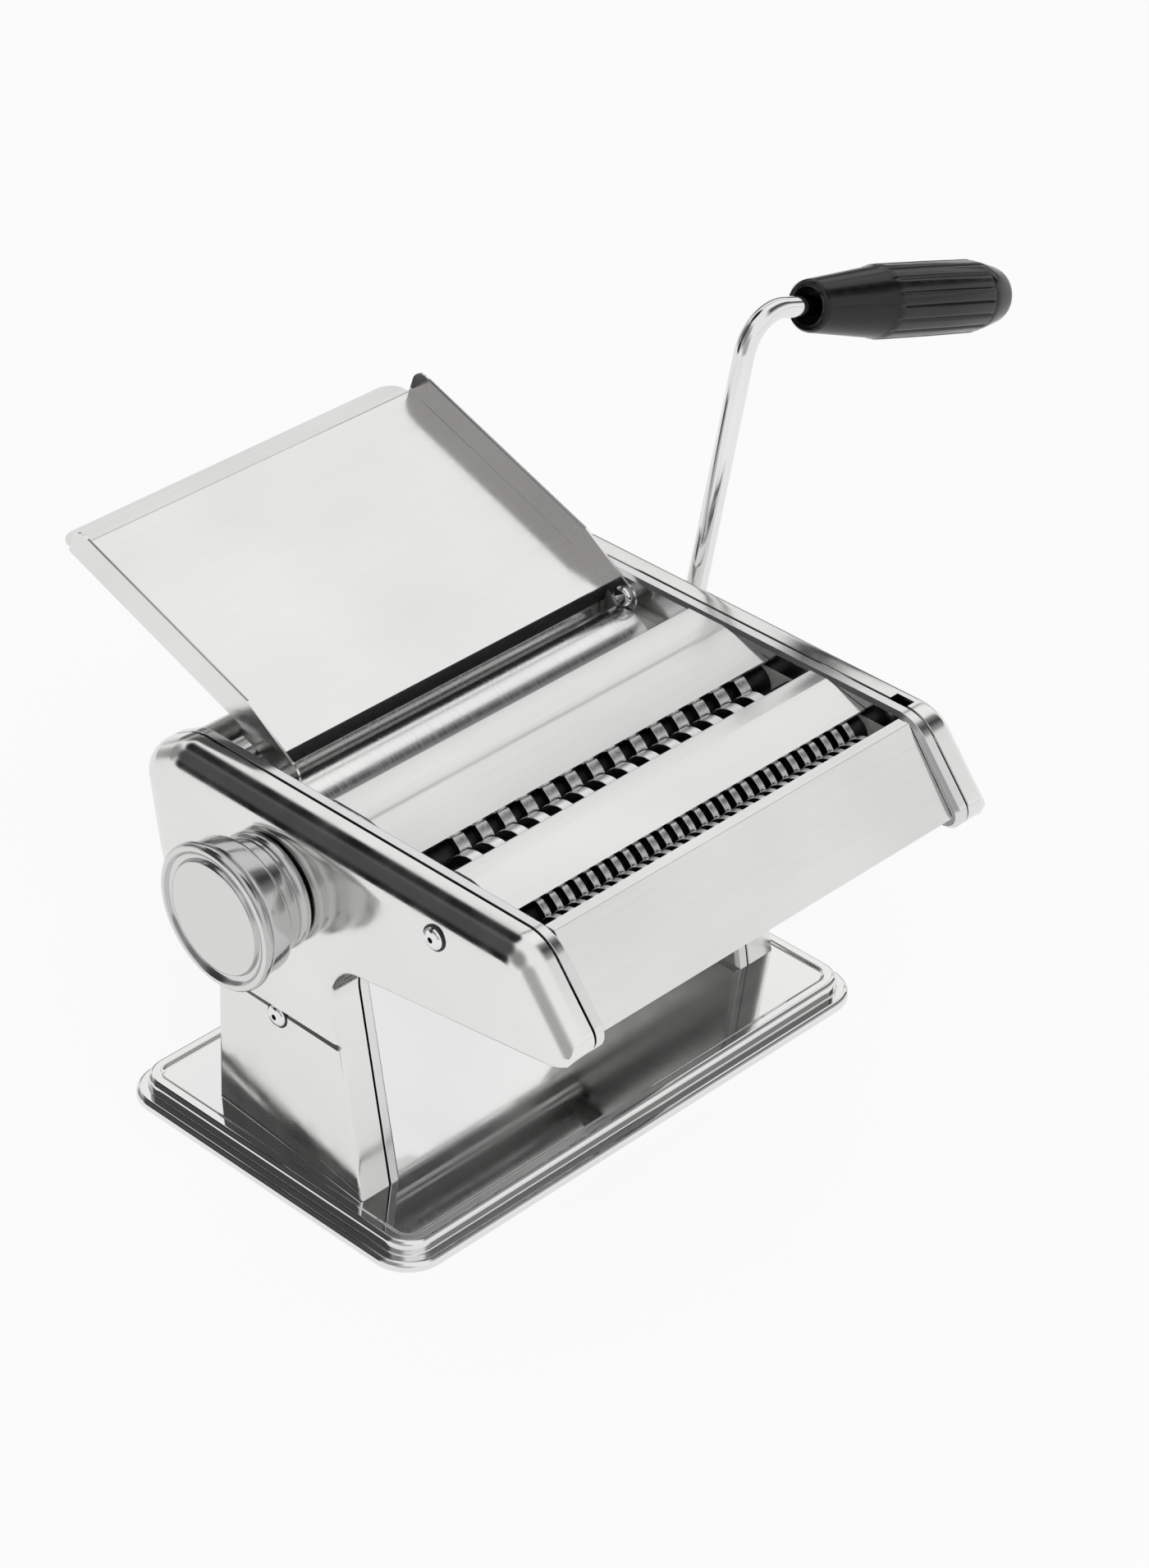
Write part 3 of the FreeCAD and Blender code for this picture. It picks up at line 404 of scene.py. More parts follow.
def lathe_into(bm, profile, place, turn, steps):
    """Turns (along, radius) points in millimetres about an axis through place; turn takes +X to it."""
    rings = []
    for along, radius in profile:
        ring = []
        for i in range(steps):
            a = 2 * math.pi * i / steps
            point = Vector((along * MM, radius * MM * math.cos(a), radius * MM * math.sin(a)))
            ring.append(bm.verts.new(place + turn @ point))
        rings.append(ring)
    skin(bm, rings)


# Covers: the CAD's bevel is drawn as a full round on the left and with eased edges on the right

def inset(points, amounts):
    """A polygon with each side moved inwards by its own amount, side i after point i."""
    lines = []
    count = len(points)
    for i in range(count):
        along = (points[(i + 1) % count] - points[i]).normalized()
        normal = Vector((-along.y, along.x))
        lines.append((normal, normal.dot(points[i]) + amounts[i]))
    moved = []
    for i in range(count):
        (n0, c0), (n1, c1) = lines[i - 1], lines[i]
        det = n0.x * n1.y - n1.x * n0.y
        moved.append(Vector(((c0 * n1.y - c1 * n0.y) / det, (n0.x * c1 - n1.x * c0) / det)))
    return moved


def rounded(points, radii):
    """The polygon's points with each corner of a radius drawn as an arc."""
    path = []
    count = len(points)
    for i, (point, radius) in enumerate(zip(points, radii)):
        if radius == 0:
            path.append(point)
            continue
        before = (points[i - 1] - point).normalized()
        after = (points[(i + 1) % count] - point).normalized()
        half = before.angle(after) / 2
        middle = (before + after).normalized()
        centre = point + middle * (radius / math.sin(half))
        start = point + before * (radius / math.tan(half)) - centre
        end = point + after * (radius / math.tan(half)) - centre
        whole = start.angle_signed(end)
        for k in range(ARC_STEPS + 1):
            turn = Matrix.Rotation(-whole * k / ARC_STEPS, 2)
            path.append(centre + turn @ start)
    return path


def cover_outline(large, small):
    """The outline moved in by one amount on its rounded sides and another on its plain sides."""
    corners = [Vector(corner) for corner, radius, round_side in OUTLINE]
    amounts = [large if round_side else small for corner, radius, round_side in OUTLINE]
    radii = []
    for i, (corner, radius, round_side) in enumerate(OUTLINE):
        if radius == 0 or i in INNER_CORNERS:
            radii.append(radius)
        else:
            radii.append(max(radius - large, LEAST_CORNER))
    return rounded(inset(corners, amounts), radii)


def round_profile():
    """Depth and inset along a quarter round."""
    profile = []
    for degrees in ROUND_DEGREES:
        a = math.radians(degrees)
        profile.append((COVER_DEPTH - COVER_ROUND * (1 - math.sin(a)), COVER_ROUND * (1 - math.cos(a))))
    return profile


def cover_sections(profile):
    """Depth from the seam and outline of each section, from the wall's inside to the outer face."""
    inside = cover_outline(COVER_WALL, COVER_WALL)
    sections = [(COVER_RETURN, inside), (0.0, inside),
                (0.0, cover_outline(SEAM_EDGE, SEAM_EDGE)), (SEAM_EDGE, cover_outline(0.0, 0.0))]
    for depth, large in profile:
        over = max(0.0, depth - COVER_DEPTH + COVER_EDGE)
        small = COVER_EDGE - math.sqrt(max(0.0, COVER_EDGE ** 2 - over ** 2))
        sections.append((depth, cover_outline(large, small)))
    return sections


def split(bm, place, normal):
    bmesh.ops.bisect_plane(bm, geom=bm.verts[:] + bm.edges[:] + bm.faces[:], plane_co=place, plane_no=normal)


def press_leg(bm, seam):
    """Lets the leg's face fall away to the back below a step, and presses a line across it."""
    split(bm, (0, 0, STEP_Z * MM), (0, 0, 1))
    split(bm, (0, 0, (STEP_Z - STEP_HEIGHT) * MM), (0, 0, 1))
    line_z = STEP_Z - LINE_DROP
    for drop in (0.0, LINE_HEIGHT):
        split(bm, (0, LEG_FRONT * MM, (line_z - drop) * MM), (0, LINE_SLOPE, 1))
    for vert in bm.verts:
        if vert.co.z < (STEP_Z - STEP_HEIGHT / 2) * MM:
            behind = vert.co.y / MM - LEG_FRONT
            fall = LEG_FALL * behind / (LEG_BACK - LEG_FRONT)
            if abs(vert.co.z / MM + LINE_SLOPE * behind - line_z) < LINE_NEAR:
                fall += LINE_DEPTH
            vert.co.x = seam + (vert.co.x - seam) * (1 - fall / COVER_DEPTH)


def outer_face(bm):
    """The head's large flat face, above the leg's step."""
    flat = [f for f in bm.faces if abs(f.normal.x) > FLAT_NORMAL and f.calc_center_median().z > STEP_Z * MM]
    return max(flat, key=lambda f: f.calc_area())


def pierce(bm, face, circles, outward):
    """Cuts round holes with short walls in a flat face."""
    x = face.calc_center_median().x
    edges = list(face.edges)
    bmesh.ops.delete(bm, geom=[face], context="FACES_ONLY")
    for (y, z), radius in circles:
        rings = []
        for back in (0.0, COVER_WALL):
            ring = []
            for i in range(HOLE_STEPS):
                a = 2 * math.pi * i / HOLE_STEPS
                ring.append(bm.verts.new((x - outward * back * MM, (y + radius * math.cos(a)) * MM,
                                          (z + radius * math.sin(a)) * MM)))
            rings.append(ring)
        for i in range(HOLE_STEPS):
            bm.faces.new((rings[0][i - 1], rings[0][i], rings[1][i], rings[1][i - 1]))
            edges.append(bm.edges.get((rings[0][i - 1], rings[0][i])))
    bmesh.ops.triangle_fill(bm, use_beauty=True, edges=edges, normal=(outward, 0, 0))


def cut_notch(bm, seam, top):
    """Opens a notch in the right cover's top, beside the seam."""
    for y in NOTCH_Y:
        split(bm, (0, y * MM, 0), (0, 1, 0))
    inner_x = seam + NOTCH_WIDTH * MM
    split(bm, (inner_x, 0, 0), (1, 0, 0))
    notch = []
    for face in bm.faces:
        middle = face.calc_center_median()
        within = NOTCH_Y[0] < middle.y / MM < NOTCH_Y[1] and middle.x < inner_x
        if within and middle.z > top - 2 * COVER_WALL * MM:
            notch.append(face)
    bmesh.ops.delete(bm, geom=notch, context="FACES")


def make_cover(side):
    outward = OUTWARD[side]
    low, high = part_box(side + "_cover")
    seam = high.x if outward < 0 else low.x
    bm = bmesh.new()
    rings = []
    for depth, outline in cover_sections(round_profile() if side == "left" else EASED_BEVEL):
        rings.append([bm.verts.new((seam + outward * depth * MM, y * MM, z * MM)) for y, z in outline])
    for first, second in zip(rings, rings[1:]):
        for i in range(len(first)):
            bm.faces.new((first[i - 1], first[i], second[i], second[i - 1]))
    bm.faces.new(rings[-1])
    press_leg(bm, seam)
    pierce(bm, outer_face(bm), COVER_HOLES[side], outward)
    if side == "right":
        cut_notch(bm, seam, high.z)
    mesh = finished(bm, side + "_cover_round", angle=32)
    as_object(side + "_cover_round", mesh, "frame", "cheek", (side + "_cover",))


# Cutters

def gear_into(bm, y, z, x0, turn):
    """A spur gear: a toothed plate between two planes."""
    points = []
    for i in range(GEAR_TEETH):
        middle = 2 * math.pi * i / GEAR_TEETH + turn
        for radius, share in TOOTH:
            a = middle + share * 2 * math.pi / GEAR_TEETH
            points.append((y + radius * MM * math.cos(a), z + radius * MM * math.sin(a)))
    rings = []
    for x in (x0, x0 - GEAR_WIDTH * MM):
        rings.append([bm.verts.new((x, py, pz)) for py, pz in points])
    for i in range(len(points)):
        j = (i + 1) % len(points)
        bm.faces.new((rings[0][i], rings[0][j], rings[1][j], rings[1][i]))
    for ring in rings:
        bm.faces.new(ring)


def cutter_profile(low_x, high_x, pitch, shift, socket):
    """Radii along a cutter: journal, discs with eased edges, journal, and a socket in the front ones."""
    width = pitch / 2 - DISC_CLEAR
    count = int((DISC_SPAN - width) / pitch)
    first = -(count - 1) * pitch / 2 - width / 2 - pitch / 4 + shift
    points = [(low_x, END_R), (low_x, JOURNAL_R), (-CUTTER_SHOULDER, JOURNAL_R), (-CUTTER_SHOULDER, CORE_R)]
    for i in range(count):
        start = first + i * pitch
        end = start + width
        points += [(start, CORE_R), (start, DISC_R - DISC_EDGE), (start + DISC_EDGE, DISC_R),
                   (end - DISC_EDGE, DISC_R), (end, DISC_R - DISC_EDGE), (end, CORE_R)]
    points += [(CUTTER_SHOULDER, CORE_R), (CUTTER_SHOULDER, JOURNAL_R),
               (high_x - JOURNAL_EDGE, JOURNAL_R), (high_x, JOURNAL_R - JOURNAL_EDGE)]
    if socket:
        socket_end = high_x - SOCKET_DEPTH
        points += [(high_x, SOCKET_R), (socket_end, SOCKET_R), (socket_end, END_R)]
    else:
        points.append((high_x, END_R))
    return points


def make_cutters():
    for kind, facts in CUTTERS.items():
        for index, node in enumerate(facts["nodes"]):
            low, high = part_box(node)
            y, z = mid_yz(node)
            bm = bmesh.new()
            shift = facts["pitch"] / 2 if index else 0.0
            profile = cutter_profile(low.x / MM, high.x / MM, facts["pitch"], shift, index == 0)
            lathe_into(bm, profile, Vector((0, y, z)), facing(1), CUTTER_STEPS)
            half_tooth = math.pi / GEAR_TEETH if index else 0.0
            gear_into(bm, y, z, high.x - GEAR_TAIL * MM, half_tooth)
            mesh = finished(bm, node + "_turned")
            body = kind + ("_rear" if index else "_front")
            as_object(node + "_turned", mesh, body, "cutter", (node,))
            # Painted shade: the core and the discs' sides, below their eased edges, take the near-black
            # material
            mesh.materials.append(MATERIALS["groove"])
            for face in mesh.polygons:
                reach = math.hypot(face.center.y - y, face.center.z - z)
                face.material_index = int(reach < (DISC_R - 2 * DISC_EDGE) * MM)


# Knob

def make_knob():
    """The knob, turned in one with its hollow back; places along it run from the back to the front."""
    low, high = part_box("regulator_knob")
    y, z = mid_yz("regulator_knob")
    front = (high.x - low.x) / MM
    rim_r = (high.y - low.y) / 2 / MM
    neck_r = rim_r - KNOB_NECK_IN
    barrel_r = rim_r - KNOB_BARREL_IN
    bore_end = front - KNOB_FRONT
    bore = [(bore_end, BORE_END_R), (bore_end, KNOB_BORE_R), (KNOB_CAVITY_DEPTH, KNOB_BORE_R),
            (KNOB_CAVITY_DEPTH, KNOB_CAVITY_R), (0.0, KNOB_CAVITY_R)]
    neck_rings = [(0.0, neck_r - 1.0), (0.3, neck_r - 0.3), (1.4, neck_r + 0.4), (2.6, neck_r + 0.5),
                  (3.6, neck_r), (4.0, neck_r - 0.5), (4.6, neck_r - 0.5), (5.2, neck_r + 0.1),
                  (6.6, neck_r + 0.4), (8.2, neck_r + 0.2), (9.4, neck_r + 0.2), (10.2, neck_r + 0.9)]
    barrel = [(10.8, barrel_r - 0.9), (11.6, barrel_r - 0.2), (12.6, barrel_r), (front - 5.6, barrel_r + 0.1)]
    groove = [(front - 5.0, barrel_r - 0.1), (front - 4.7, barrel_r - 0.5), (front - 4.3, barrel_r - 0.5),
              (front - 4.0, barrel_r)]
    rim = [(front - 3.4, rim_r - 0.6), (front - 2.6, rim_r - 0.1), (front - 1.8, rim_r),
           (front - 0.9, rim_r - 0.2), (front - 0.3, rim_r - 0.8), (front, rim_r - 1.6)]
    dish = [(front - 0.15, rim_r - 2.3), (front - 0.7, rim_r - 2.9), (front - 1.4, rim_r - 3.3),
            (front - 1.75, rim_r - 4.2), (front - 1.8, rim_r - 5.0), (front - 1.6, rim_r - 5.3)]
    raised_disc = [(front - 0.6, rim_r - 5.6), (front - 0.25, rim_r - 5.9), (front - 0.1, rim_r - 6.5),
                   (front - 0.1, rim_r - 14.0), (front - 0.1, END_R)]
    bm = bmesh.new()
    profile = bore + neck_rings + barrel + groove + rim + dish + raised_disc
    lathe_into(bm, profile, Vector((high.x, y, z)), facing(OUTWARD["left"]), KNOB_STEPS)
    mesh = finished(bm, "knob_turned", angle=40)
    as_object("knob_turned", mesh, "knob", "knob", ("regulator_knob",))
    # Painted light and shade: the flat front face takes the lighter tone, the barrel and neck the darker one
    mesh.materials.append(MATERIALS["knob_face"])
    for face in mesh.polygons:
        at_front = face.center.x < low.x + KNOB_FACE_DEPTH * MM
        face.material_index = int(face.normal.x < -FLAT_NORMAL and at_front)


# Grip

def grip_axis():
    joint = next(j for j in frame["joints"] if j["name"] == "grip_spin")
    return Vector(joint["pos_m"]), Vector(joint["axis"]).normalized()


def grip_sections():
    """Place along the grip, radius, and share of the flutes' depth, from the bore round to the end."""
    bore = [(GRIP_BORE_END, BORE_END_R, 0), (GRIP_BORE_END, GRIP_BORE_R, 0), (ROD_HOLE_END, GRIP_BORE_R, 0),
            (ROD_HOLE_END, ROD_HOLE_R, 0), (ROD_HOLE_START, ROD_HOLE_R, 0)]
    mouth = [(ROD_HOLE_START, 5.8, 0), (0.3, 6.4, 0), (0, 6.9, 0), (0, GRIP_MOUTH_R - 0.7, 0),
             (0.7, GRIP_MOUTH_R, 0), (2, GRIP_MOUTH_R + 0.25, 0)]
    cone = [(GRIP_CONE - 3, GRIP_BODY_R - 0.75, 0), (GRIP_CONE - 1, GRIP_BODY_R - 0.3, 0)]
    body = [(GRIP_CONE, GRIP_BODY_R, 0.3), (GRIP_CONE + 2, GRIP_BODY_R + 0.05, 1),
            (0.62 * GRIP_LENGTH, GRIP_BODY_R + 0.1, 1), (0.85 * GRIP_LENGTH, GRIP_BODY_R - 0.05, 1),
            (0.862 * GRIP_LENGTH, GRIP_BODY_R - 0.3, 0.6)]
    end = [(0.866 * GRIP_LENGTH, GRIP_BODY_R - 0.9, 0), (0.88 * GRIP_LENGTH, GRIP_BODY_R - 0.7, 0),
           (0.9 * GRIP_LENGTH, GRIP_BODY_R - 1.0, 0), (0.975 * GRIP_LENGTH, 9.8, 0),
           (0.99 * GRIP_LENGTH, 9.2, 0), (GRIP_LENGTH, 8.0, 0), (GRIP_LENGTH, END_R, 0)]
    return bore + mouth + cone + body + end


def make_grip():
    """The fluted grip: an open mouth, a plain cone, ribbed body and a chamfered end."""
    place, axis = grip_axis()
    turn = Vector((1, 0, 0)).rotation_difference(axis).to_matrix()
    steps = GRIP_FLUTES * FLUTE_STEPS
    bm = bmesh.new()
    rings = []
    for along, radius, flute in grip_sections():
        ring = []
        for i in range(steps):
            a = 2 * math.pi * i / steps
            phase = (i % FLUTE_STEPS) / FLUTE_STEPS
            groove = math.exp(-((phase - 0.5) / FLUTE_WIDTH) ** 2)
            r = (radius - flute * FLUTE_DEPTH * groove) * MM
            ring.append(bm.verts.new(place + turn @ Vector((along * MM, r * math.cos(a), r * math.sin(a)))))
        rings.append(ring)
    skin(bm, rings)
    mesh = finished(bm, "grip_fluted", angle=35)
    as_object("grip_fluted", mesh, "grip", "grip", ("grip", "grip_end_cap"))


# Screws on the covers

def screw_mesh(name, place, outward):
    """A domed screw head on a washer, with a round recess."""
    bm = bmesh.new()
    washer = [(0.05, 0.3), (0.05, SCREW_R + 0.7), (0.5, SCREW_R + 0.6)]
    head = [(0.6, SCREW_R), (1.1, SCREW_R - 0.15), (1.6, SCREW_R - 0.8), (1.85, SCREW_R - 1.8)]
    recess = [(1.9, 1.0), (1.2, 0.8), (1.2, 0.2)]
    lathe_into(bm, washer + head + recess, place, facing(outward), SCREW_STEPS)
    return finished(bm, name, angle=40)


def make_screws():
    for side, places in SCREWS.items():
        outward = OUTWARD[side]
        low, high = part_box(side + "_cover")
        face_x = low.x if outward < 0 else high.x
        for index, ((y, z), on_leg) in enumerate(places):
            sunk = LEG_FALL_AT_SCREW * MM if on_leg else 0.0
            place = Vector((face_x - outward * sunk, y * MM, z * MM))
            name = "%s_cover_screw_%d" % (side, index + 1)
            mesh = screw_mesh(name, place, outward)
            as_object(name, mesh, "frame", "chrome")
            # Painted shade: the washer's outer edge and the round recess take the near-black material
            mesh.materials.append(MATERIALS["groove"])
            for face in mesh.polygons:
                reach = math.hypot(face.center.y - place.y, face.center.z - place.z) / MM
                face.material_index = int(reach > SCREW_R + 0.1 or reach < SCREW_RECESS_R)


# Folded sheets

def folded(name, path, low_x, high_x, body, look, replaced=()):
    """A sheet of even thickness along a (Y, Z) path, its thickness to the left of the path's run."""
    under = []
    for i, point in enumerate(path):
        along = (path[min(i + 1, len(path) - 1)] - path[max(i - 1, 0)]).normalized()
        under.append(point + Vector((-along.y, along.x)) * SHEET_T)
    loop = path + under[::-1]
    bm = bmesh.new()
    ends = []
    for x in (low_x, high_x):
        ends.append([bm.verts.new((x, y * MM, z * MM)) for y, z in loop])
    for i in range(len(loop)):
        bm.faces.new((ends[0][i - 1], ends[0][i], ends[1][i], ends[1][i - 1]))
    for i in range(len(path) - 1):
        for end in ends:
            bm.faces.new((end[i], end[i + 1], end[-2 - i], end[-1 - i]))
    as_object(name, finished(bm, name, angle=12), body, look, replaced)


def make_sheets():
    """The top sheets: a rear lip, a flat, a crisp fold and a barely hollow slope down to the cutters."""
    for node, facts in SHEETS.items():
        low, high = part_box(node)
        top = high.z / MM
        lip_y = high.y / MM
        back = lip_y - LIP_RUN
        fold = Vector((facts["fold_y"], top))
        end = Vector(facts["end"])
        across = Vector((fold.y - end.y, end.x - fold.x)).normalized()
        path = [Vector((lip_y, top - LIP_DROP)), Vector((back + 0.4, top - 0.5)), Vector((back, top - 0.1)),
                Vector((back - 0.6, top)), fold + Vector((0.15, 0))]
        for k in range(1, SLOPE_STEPS + 1):
            share = k / SLOPE_STEPS
            path.append(fold.lerp(end, share) + across * (SLOPE_SAG * 4 * share * (1 - share)))
        folded(node + "_folded", path, low.x, high.x, "frame", "sheet", (node,))


# Tray trim

def tray_axes():
    """Directions along the tray's slope, up from its front edge, and square to its sheet."""
    tilt = math.radians(TRAY_ANGLE)
    return Vector((0, math.cos(tilt), math.sin(tilt))), Vector((0, -math.sin(tilt), math.cos(tilt)))


def make_tray_hem():
    """The tray's front edge, folded down, in the near-black material as painted shadow under the edge."""
    down = -tray_axes()[1].yz
    start = Vector(TRAY_EDGE) + down * SHEET_T
    hem = []
    for k in range(HEM_STEPS + 1):
        bulge = Vector((HEM_BULGE * math.sin(math.pi * k / HEM_STEPS), 0))
        hem.append(start + down * (HEM_DROP * k / HEM_STEPS) + bulge)
    folded("tray_hem", hem, -TRAY_HALF * MM, TRAY_HALF * MM, "tray", "groove")


def make_tray_rims():
    """A rolled rim along the bottom and the top of each side wall, in the darker inner steel as a painted
    dark reflection line.
    """
    along, rise = tray_axes()
    start = Vector((0, *TRAY_EDGE)) + along * RIM_RUN[0]
    turn = Matrix((along, rise, Vector((1, 0, 0)))).transposed()
    run = RIM_RUN[1] - RIM_RUN[0]
    profile = [(0.0, 0.05), (0.15, RIM_R * 0.7), (0.5, RIM_R),
               (run - 0.5, RIM_R), (run - 0.15, RIM_R * 0.7), (run, 0.05)]
    for side, outward in OUTWARD.items():
        wall = Vector((outward * (TRAY_HALF + SHEET_T / 2), 0, 0))
        bm = bmesh.new()
        for height in RIM_HEIGHTS:
            lathe_into(bm, profile, (start + rise * height + wall) * MM, turn, RIM_STEPS)
        name = "tray_rims_" + side
        as_object(name, finished(bm, name, angle=40), "tray", "inner")


def make_tray_rivets():
    """Hollow caps over the pivot pins, on the inner faces of the tray's ears."""
    profile = [(PIN_HOLE_DEPTH, BORE_END_R), (PIN_HOLE_DEPTH, PIN_HOLE_R), (0.0, PIN_HOLE_R), (0.0, RIVET_R),
               (0.5, RIVET_R - 0.1), (1.0, RIVET_R - 0.6), (1.25, RIVET_R - 1.5), (1.35, 0.3)]
    for side, outward in OUTWARD.items():
        place = Vector((outward * TRAY_HALF * MM, TRAY_PIVOT[0] * MM, TRAY_PIVOT[1] * MM))
        bm = bmesh.new()
        lathe_into(bm, profile, place, facing(-outward), RIVET_STEPS)
        name = "tray_rivet_" + side
        as_object(name, finished(bm, name, angle=40), "tray", "chrome")


# Studio, in metres
FLOOR_HALF = 6.0
FLOOR_GREY = 0.9
FLOOR_ROUGH = 0.9
FLOOR_SHOWN = 0.9        # how far the floor shows as plain white to the camera
FLOOR_MIRRORED = 0.8     # the same in the steel's reflections
WORLD_GREY = 0.92        # left half of the surroundings, apart from its flags
HALVES_MEET = (0.1, 0.35)
KEY_PLACE = Vector((-0.6, -0.9, 1.4))
KEY_AIM = Vector((0, 0, 0.1))
KEY_SIZE = 0.8
KEY_POWER = 6.0
# Brightness round the X axis as the right half of the studio shows it: degrees from the back, over the top
BANDS = ((0, 0.30), (10, 0.10), (24, 0.30), (33, 0.90), (53, 0.95), (56, 0.30), (59, 0.30), (62, 0.92),
         (82, 1.00), (97, 0.95), (106, 0.22), (120, 0.05), (138, 0.30), (149, 0.88), (180, 0.97))
# Flags on the left, which show in the rounds of the left cover: direction, inner and outer degrees, grey
FLAGS = (((-0.76, -0.57, 0.2), 8, 30, 0.42),
         ((-0.25, 0.94, 0.22), 8, 24, 0.30),
         ((-0.8, 0.02, 0.6), 8, 32, 0.28),
         ((-0.05, 0.59, 0.81), 12, 20, 0.01),
         ((-0.78, 0.59, 0.2), 9, 20, 0.01),
         ((-0.55, 0.59, 0.59), 12, 27, 0.07))


def make_floor():
    bm = bmesh.new()
    bmesh.ops.create_grid(bm, x_segments=1, y_segments=1, size=FLOOR_HALF)
    mesh = bpy.data.meshes.new("floor")
    bm.to_mesh(mesh)
    bm.free()
    floor = bpy.data.objects.new("floor", mesh)
    bpy.context.scene.collection.objects.link(floor)
    mat, tree, shader = new_material("pale_floor")
    shader.inputs["Base Color"].default_value = (FLOOR_GREY, FLOOR_GREY, FLOOR_GREY, 1)
    shader.inputs["Roughness"].default_value = FLOOR_ROUGH
    white = add(tree, "ShaderNodeEmission")
    path = add(tree, "ShaderNodeLightPath")
    mix = add(tree, "ShaderNodeMixShader")
    mirrored = add(tree, "ShaderNodeMath", operation="MULTIPLY")
    mirrored.inputs[1].default_value = FLOOR_MIRRORED
    either = add(tree, "ShaderNodeMath", operation="MAXIMUM")
    tree.links.new(path.outputs["Is Glossy Ray"], mirrored.inputs[0])
    tree.links.new(path.outputs["Is Camera Ray"], either.inputs[0])
    tree.links.new(mirrored.outputs["Value"], either.inputs[1])
    share = add(tree, "ShaderNodeMath", operation="MULTIPLY")
    share.inputs[1].default_value = FLOOR_SHOWN
    tree.links.new(either.outputs["Value"], share.inputs[0])
    tree.links.new(share.outputs["Value"], mix.inputs["Fac"])
    tree.links.new(shader.outputs["BSDF"], mix.inputs[1])
    tree.links.new(white.outputs["Emission"], mix.inputs[2])
    tree.links.new(mix.outputs["Shader"], tree.nodes["Material Output"].inputs["Surface"])
    mesh.materials.append(mat)


def flag(tree, base, direction, inner, outer, grey):
    """Paints a soft round patch of the studio's surroundings in one direction."""
    coords = add(tree, "ShaderNodeTexCoord")
    dot = add(tree, "ShaderNodeVectorMath", operation="DOT_PRODUCT")
    dot.inputs[1].default_value = Vector(direction).normalized()
    ramp = add(tree, "ShaderNodeMapRange", interpolation_type="SMOOTHSTEP")
    ramp.inputs["From Min"].default_value = math.cos(math.radians(outer))
    ramp.inputs["From Max"].default_value = math.cos(math.radians(inner))
    mix = add(tree, "ShaderNodeMix", data_type="RGBA")
    tree.links.new(coords.outputs["Generated"], dot.inputs[0])
    tree.links.new(dot.outputs["Value"], ramp.inputs["Value"])
    tree.links.new(ramp.outputs["Result"], mix.inputs["Factor"])
    tree.links.new(base, mix.inputs["A"])
    mix.inputs["B"].default_value = (grey, grey, grey, 1)
    return mix.outputs["Result"]


def bands(tree, parts):
    """Bright and dark strips along the X axis, by the angle round it."""
    turn = add(tree, "ShaderNodeMath", operation="ARCTAN2")
    share = add(tree, "ShaderNodeMapRange")
    share.inputs["From Max"].default_value = math.pi
    ramp = add(tree, "ShaderNodeValToRGB")
    ramp.color_ramp.interpolation = "EASE"
    stops = ramp.color_ramp.elements
    while len(stops) < len(BANDS):
        stops.new(0.5)
    for stop, (degrees, grey) in zip(stops, BANDS):
        stop.position = degrees / 180.0
    for stop, (degrees, grey) in zip(stops, BANDS):
        stop.color = (grey, grey, grey, 1)
    tree.links.new(parts.outputs["Z"], turn.inputs[0])
    tree.links.new(parts.outputs["Y"], turn.inputs[1])
    tree.links.new(turn.outputs["Value"], share.inputs["Value"])
    tree.links.new(share.outputs["Result"], ramp.inputs["Fac"])
    return ramp.outputs["Color"]


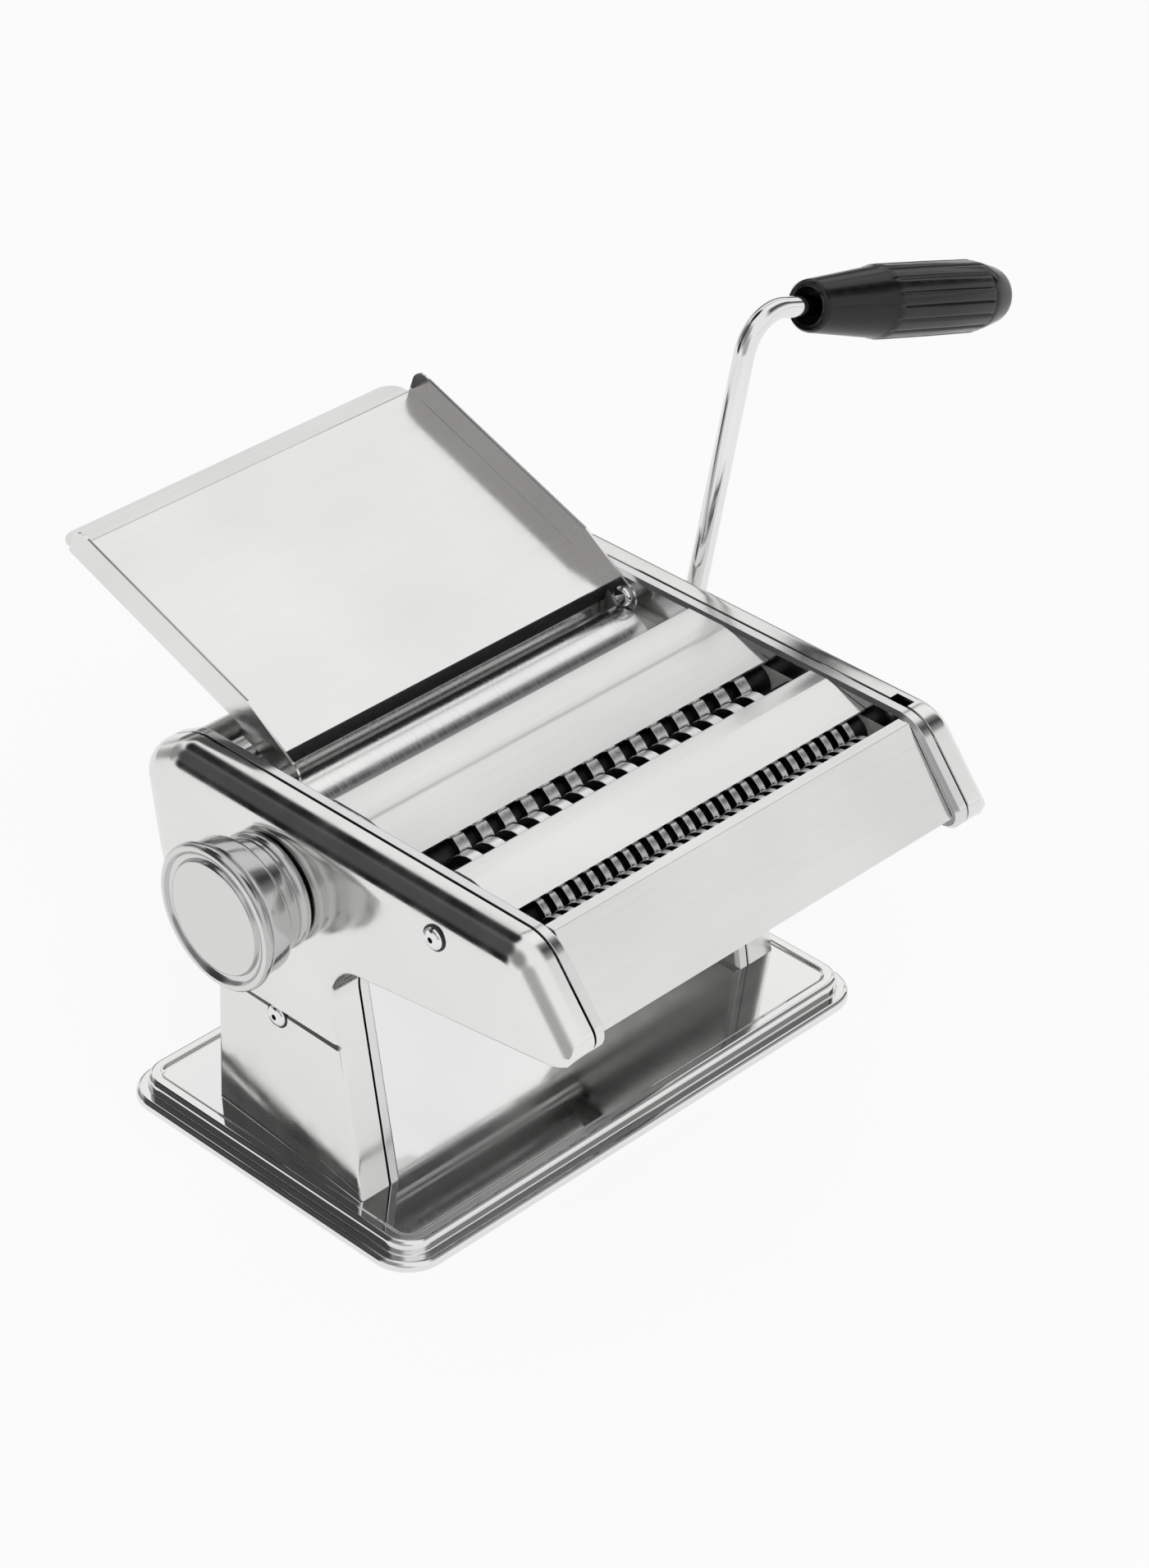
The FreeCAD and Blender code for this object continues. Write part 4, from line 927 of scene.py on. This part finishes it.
def make_world():
    """A white studio with dark strips and flags, so that the polished steel has something to show."""
    world = bpy.data.worlds.new("studio")
    bpy.context.scene.world = world
    world.use_nodes = True
    tree = world.node_tree
    coords = add(tree, "ShaderNodeTexCoord")
    parts = add(tree, "ShaderNodeSeparateXYZ")
    tree.links.new(coords.outputs["Generated"], parts.inputs["Vector"])
    left = add(tree, "ShaderNodeRGB")
    left.outputs[0].default_value = (WORLD_GREY, WORLD_GREY, WORLD_GREY, 1)
    flagged = left.outputs[0]
    for direction, inner, outer, grey in FLAGS:
        flagged = flag(tree, flagged, direction, inner, outer, grey)
    side = add(tree, "ShaderNodeMapRange", interpolation_type="SMOOTHSTEP")
    side.inputs["From Min"].default_value = HALVES_MEET[0]
    side.inputs["From Max"].default_value = HALVES_MEET[1]
    tree.links.new(parts.outputs["X"], side.inputs["Value"])
    halves = add(tree, "ShaderNodeMix", data_type="RGBA")
    tree.links.new(side.outputs["Result"], halves.inputs["Factor"])
    tree.links.new(flagged, halves.inputs["A"])
    tree.links.new(bands(tree, parts), halves.inputs["B"])
    path = add(tree, "ShaderNodeLightPath")
    seen = add(tree, "ShaderNodeMix", data_type="RGBA")
    seen.inputs["B"].default_value = (1, 1, 1, 1)
    tree.links.new(path.outputs["Is Camera Ray"], seen.inputs["Factor"])
    tree.links.new(halves.outputs["Result"], seen.inputs["A"])
    tree.links.new(seen.outputs["Result"], tree.nodes["Background"].inputs["Color"])


def make_key_light():
    """A soft light that shades and casts the shadow; the steel shows the world's bands and not the lamp."""
    data = bpy.data.lights.new("key", "AREA")
    data.size = KEY_SIZE
    data.energy = KEY_POWER
    light = bpy.data.objects.new("key", data)
    light.location = KEY_PLACE
    light.rotation_mode = "QUATERNION"
    light.rotation_quaternion = (KEY_AIM - KEY_PLACE).to_track_quat("-Z", "Y")
    light.visible_glossy = False
    bpy.context.scene.collection.objects.link(light)


def make_camera():
    data = bpy.data.cameras.new("camera")
    data.lens = LENS_MM
    data.sensor_width = SENSOR_MM
    data.sensor_fit = "AUTO"
    camera = bpy.data.objects.new("camera", data)
    camera.location = CAMERA_PLACE
    camera.rotation_mode = "QUATERNION"
    camera.rotation_quaternion = CAMERA_AIM.to_track_quat("-Z", "Y")
    bpy.context.scene.collection.objects.link(camera)
    bpy.context.scene.camera = camera


dress_nodes()
make_cover("left")
make_cover("right")
make_cutters()
make_knob()
make_grip()
make_screws()
make_sheets()
make_tray_hem()
make_tray_rims()
make_tray_rivets()
make_floor()
make_world()
make_key_light()
make_camera()
bpy.context.scene.view_settings.view_transform = "Standard"
